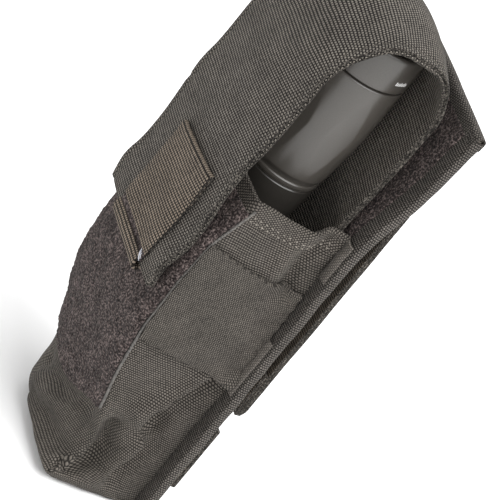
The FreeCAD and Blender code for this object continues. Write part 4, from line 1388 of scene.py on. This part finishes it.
class POUCH_OT_tab(bpy.types.Operator):
    """Sews the pull tab to the strap's end, with its folded top and foot and a loose thread"""
    bl_idname = "pouch.tab"
    bl_label = "Pull tab"

    def execute(self, context):
        flap = context.scene.pouch_flap
        fold = np.array([(0.75, 0.0), (0.85, 4.0), (1.05, 12.0), (1.35, 22.0), (1.65, 29.0), (1.7, 31.2),
                         (1.45, 32.1), (0.95, 31.9), (0.75, 30.0), (0.62, 25.0), (0.56, 20.0)])
        (x0, z0), (x1, z1), (x2, z2), (x3, z3) = TAB_CORNERS

        def face(u, v):
            section = smooth_through(fold, even_places(fold, v))
            share = section[..., 1] / 31.6
            x = (x0 * (1 - u) + x1 * u) * (1 - share) + (x2 * (1 - u) + x3 * u) * share
            z = (z0 * (1 - u) + z1 * u) * (1 - share) + (z2 * (1 - u) + z3 * u) * share
            edge = 0.35 * np.abs(2 * u - 1) ** 8
            return on_strap(x, z, section[..., 0] - edge)
        weave = woven_finish("tab_weave", tuple(flap.strap_dark), tuple(flap.tab_light), 0.0011, 0.0009,
                             depth=0.00026, waver=0.3)
        tab = cloth(face, 48, 92, 1.0, 0.35, edged=True)
        dress(tab, "pull_tab_cloth", "flap", "webbing_black", weave, "pull_tab", edge=folded_edge())

        def fuzz(u, v):
            return on_strap(-11.0 + 26.5 * u, 78.4 + 4.6 * v, 0.35)
        strip = cloth(fuzz, 60, 14, 0.7, 0.3)
        raise_nap(strip, [(0.8, 0.25)])
        dress(strip, "strap_end_fuzz", "flap", "loop_black", loop_fuzz("end_fuzz"))
        path = [(-28.7, 80.2), (-29.3, 78.4), (-29.2, 76.8), (-28.3, 75.8), (-27.1, 75.9), (-26.3, 77.2),
                (-25.9, 79.6), (-25.8, 82.0)]
        around = ribbon(path, 13.2, ripple=0.2, seed=7.0, centre=1.8)
        roll = cloth(around, 40, 26, 1.1, 0.35)
        dress(roll, "strap_end_fold", "flap", "webbing_black", weave, "pull_tab_fold")
        self.loose_thread(context)
        return {"FINISHED"}

    def loose_thread(self, context):
        """Tuft of pale thread ends at the tab's lower corner."""
        starts = [(14.2, -29.6, 82.4), (14.8, -29.7, 82.0), (15.4, -29.6, 81.8)]
        ends = [(16.6, -30.2, 80.4), (17.2, -30.1, 80.2), (17.0, -29.9, 81.0)]
        pale = tuple(context.scene.pouch_bag.loose_thread_colour)
        finish = speckled_finish("pale_thread", 0.0003, (0.3, scaled(pale, 0.7)), (0.6, pale), 0.0001,
                                 Roughness=0.7, Sheen_Weight=0.3)
        strands = []
        for start, end in zip(starts, ends):
            middle = [(a + b) / 2 + c for a, b, c in zip(start, end, (0.2, -0.5, 0.4))]
            strands.append(tube_along([start, middle, end], 0.13))
        dress(joined(strands), "loose_thread", "flap", "thread_black", finish)


# ---- operators: back -----------------------------------------------------------------------------
BELT_HALF = 25.0


class POUCH_OT_belt(bpy.types.Operator):
    """Makes the belt strap with its folded foot, hook and loop tapes, tongue and sewn top"""
    bl_idname = "pouch.belt"
    bl_label = "Belt strap"

    def execute(self, context):
        ply = context.scene.pouch_belt.strap_thickness / MM
        outer_y = CAD_HIGH.y / MM
        middle = outer_y - 1.1
        path = [(middle, 138.3), (middle, 120.0), (middle + 0.1, 100.0), (middle, 80.0), (middle, 64.0),
                (middle, 52.0), (middle, 47.6), (middle - 0.5, 46.0), (middle - 1.0, 45.5),
                (middle - 1.6, 45.7), (middle - 1.9, 47.0)]
        along = ribbon(path, BELT_HALF, ripple=0.12, seed=9.0)
        strap = cloth(along, 44, 120, ply, 0.5, edged=True)
        self.webbing(strap, "belt_strap_cloth", "belt_strap", "belt_loop")
        inner_y = middle - 1.1 - 0.8
        foot = ribbon([(inner_y, 46.6), (inner_y, 54.0), (inner_y, 61.8)], BELT_HALF, ripple=0.06, seed=9.0)
        fold = cloth(foot, 44, 18, 1.5, 0.4, edged=True)
        self.webbing(fold, "belt_strap_foot", "belt_strap", "belt_loop_fold")
        hooks = cloth(self.tape_surface(inner_y - 1.2), 40, 14, 0.75, 0.2)
        dress(hooks, "belt_hook_tape", "belt_strap", "hook_black", hook_fuzz("belt_hooks"), "belt_loop_hook")
        behind = ribbon([(22.4, 44.3), (22.4, 52.0), (22.4, 60.8)], BELT_HALF, ripple=0.06)
        tongue = cloth(behind, 44, 20, 3.1, 0.6, edged=True)
        self.webbing(tongue, "belt_tongue_cloth", "pouch", "belt_tongue")
        loops = cloth(self.tape_surface(24.4), 40, 14, 0.7, 0.2)
        dress(loops, "belt_loop_tape", "pouch", "loop_black", loop_fuzz("belt_loops"), "belt_tongue_loop")
        under = ribbon([(24.7, 129.4), (25.6, 134.0), (26.2, 138.2)], BELT_HALF - 0.2, ripple=0.05)
        anchor = cloth(under, 44, 16, 2.0, 0.5, edged=True)
        self.webbing(anchor, "belt_strap_anchor", "pouch", "belt_anchor")
        rows = []
        for z in (136.6, 130.6):
            rows.append([(x, outer_y + 0.05, z) for x in (-23.5, 0.0, 23.5)])
        stitches("belt_strap_stitches", "belt_strap", rows, radius=0.25)
        return {"FINISHED"}

    def webbing(self, piece, name, body, node):
        """Gives a ply of the belt strap its webbing and its dark edge."""
        dress(piece, name, body, "webbing_black", webbing_weave(), node, edge=folded_edge())

    def tape_surface(self, y):
        """Level field of hook or loop tape across the strap's foot."""
        return ribbon([(y, 48.2), (y, 54.0), (y, 59.8)], 20.0, ripple=0.0)


class POUCH_OT_webbing(bpy.types.Operator):
    """Sews the row of webbing across the foot of the back"""
    bl_idname = "pouch.webbing"
    bl_label = "Webbing row"

    def execute(self, context):
        low, high = node_size("webbing_row", 2)
        back = BOARD_FACE + 2.4

        def row(u, v):
            x = (2 * u - 1) * 29.9
            away = np.clip((27.0 - np.abs(x)) / 9.0, 0, 1)
            y = back + 1.5 + 1.0 * away * away * (3 - 2 * away)
            return np.stack([x, y, low + 0.1 + (high - low - 0.2) * v], axis=-1)
        band = cloth(row, 80, 30, 1.7, 0.5, edged=True)
        dress(band, "webbing_row_cloth", "pouch", "webbing_black", webbing_weave("row_weave", math.pi / 2),
              "webbing_row", edge=folded_edge())
        rows = []
        for side in (1, -1):
            for x in (28.9, 26.9):
                rows.append([(side * x, back + 2.4, low + 1.5), (side * x, back + 2.4, (low + high) / 2),
                             (side * x, back + 2.4, high - 1.5)])
        stitches("webbing_row_stitches", "pouch", rows, length=1.6, radius=0.22, pitch=1.9)
        return {"FINISHED"}


class POUCH_OT_seams(bpy.types.Operator):
    """Runs the visible stitch rows of the pouch"""
    bl_idname = "pouch.seams"
    bl_label = "Seams"

    def execute(self, context):
        rows = [self.level_row(0.02, 0.31, 16, 111.5, 0.15), self.level_row(0.77, 0.98, 12, 111.5, 0.15)]
        stitches("pouch_seams", "pouch", rows, length=1.7, radius=0.18, pitch=2.4)
        dots = []
        for down in (4.4, 5.9):
            for low, high in ((0.03, 0.30), (0.78, 0.97)):
                dots.append(self.level_row(low, high, 14, MOUTH_Z - down, 0.4))
        pale = (0.25, 0.225, 0.195)
        stitches("hem_stitches", "pouch", dots, length=0.8, radius=0.24, pitch=2.1, colour=pale)
        return {"FINISHED"}

    def level_row(self, low, high, count, z, lift):
        """Row of points round the wall at one height."""
        return wall_point(np.linspace(low, high, count), np.full(count, wall_row(z)), np.full(count, lift))


# ---- add-on --------------------------------------------------------------------------------------
OPERATORS = (
    POUCH_OT_studio, POUCH_OT_light_head, POUCH_OT_light_body, POUCH_OT_light_inside, POUCH_OT_board,
    POUCH_OT_wall, POUCH_OT_front, POUCH_OT_bands, POUCH_OT_mouth, POUCH_OT_strap, POUCH_OT_tab,
    POUCH_OT_belt, POUCH_OT_webbing, POUCH_OT_seams,
)


class POUCH_PT_panel(bpy.types.Panel):
    """Sizes, colours and building steps of the flashlight in its pouch"""
    bl_idname = "POUCH_PT_panel"
    bl_label = "Flashlight in Belt Pouch"
    bl_space_type = "VIEW_3D"
    bl_region_type = "UI"
    bl_category = "Pouch"

    def draw(self, context):
        for name, group in SETTINGS.items():
            box = self.layout.box()
            box.label(text=group.__doc__)
            for setting in group.__annotations__:
                box.prop(getattr(context.scene, name), setting)
        for operator in OPERATORS:
            self.layout.operator(operator.bl_idname)


def register():
    """Registers the settings, the operators and the panel."""
    for name, group in SETTINGS.items():
        bpy.utils.register_class(group)
        setattr(bpy.types.Scene, name, bpy.props.PointerProperty(type=group))
    for item in (*OPERATORS, POUCH_PT_panel):
        bpy.utils.register_class(item)


def unregister():
    """Removes what register added."""
    for item in reversed((*OPERATORS, POUCH_PT_panel)):
        bpy.utils.unregister_class(item)
    for name, group in reversed(SETTINGS.items()):
        delattr(bpy.types.Scene, name)
        bpy.utils.unregister_class(group)


def main():
    """Builds everything in order."""
    register()
    bpy.ops.pouch.studio()
    bpy.ops.pouch.light_head()
    bpy.ops.pouch.light_body()
    bpy.ops.pouch.light_inside()
    bpy.ops.pouch.board()
    bpy.ops.pouch.wall()
    bpy.ops.pouch.front()
    bpy.ops.pouch.bands()
    bpy.ops.pouch.mouth()
    bpy.ops.pouch.strap()
    bpy.ops.pouch.tab()
    bpy.ops.pouch.belt()
    bpy.ops.pouch.webbing()
    bpy.ops.pouch.seams()


if __name__ == "__main__":
    main()
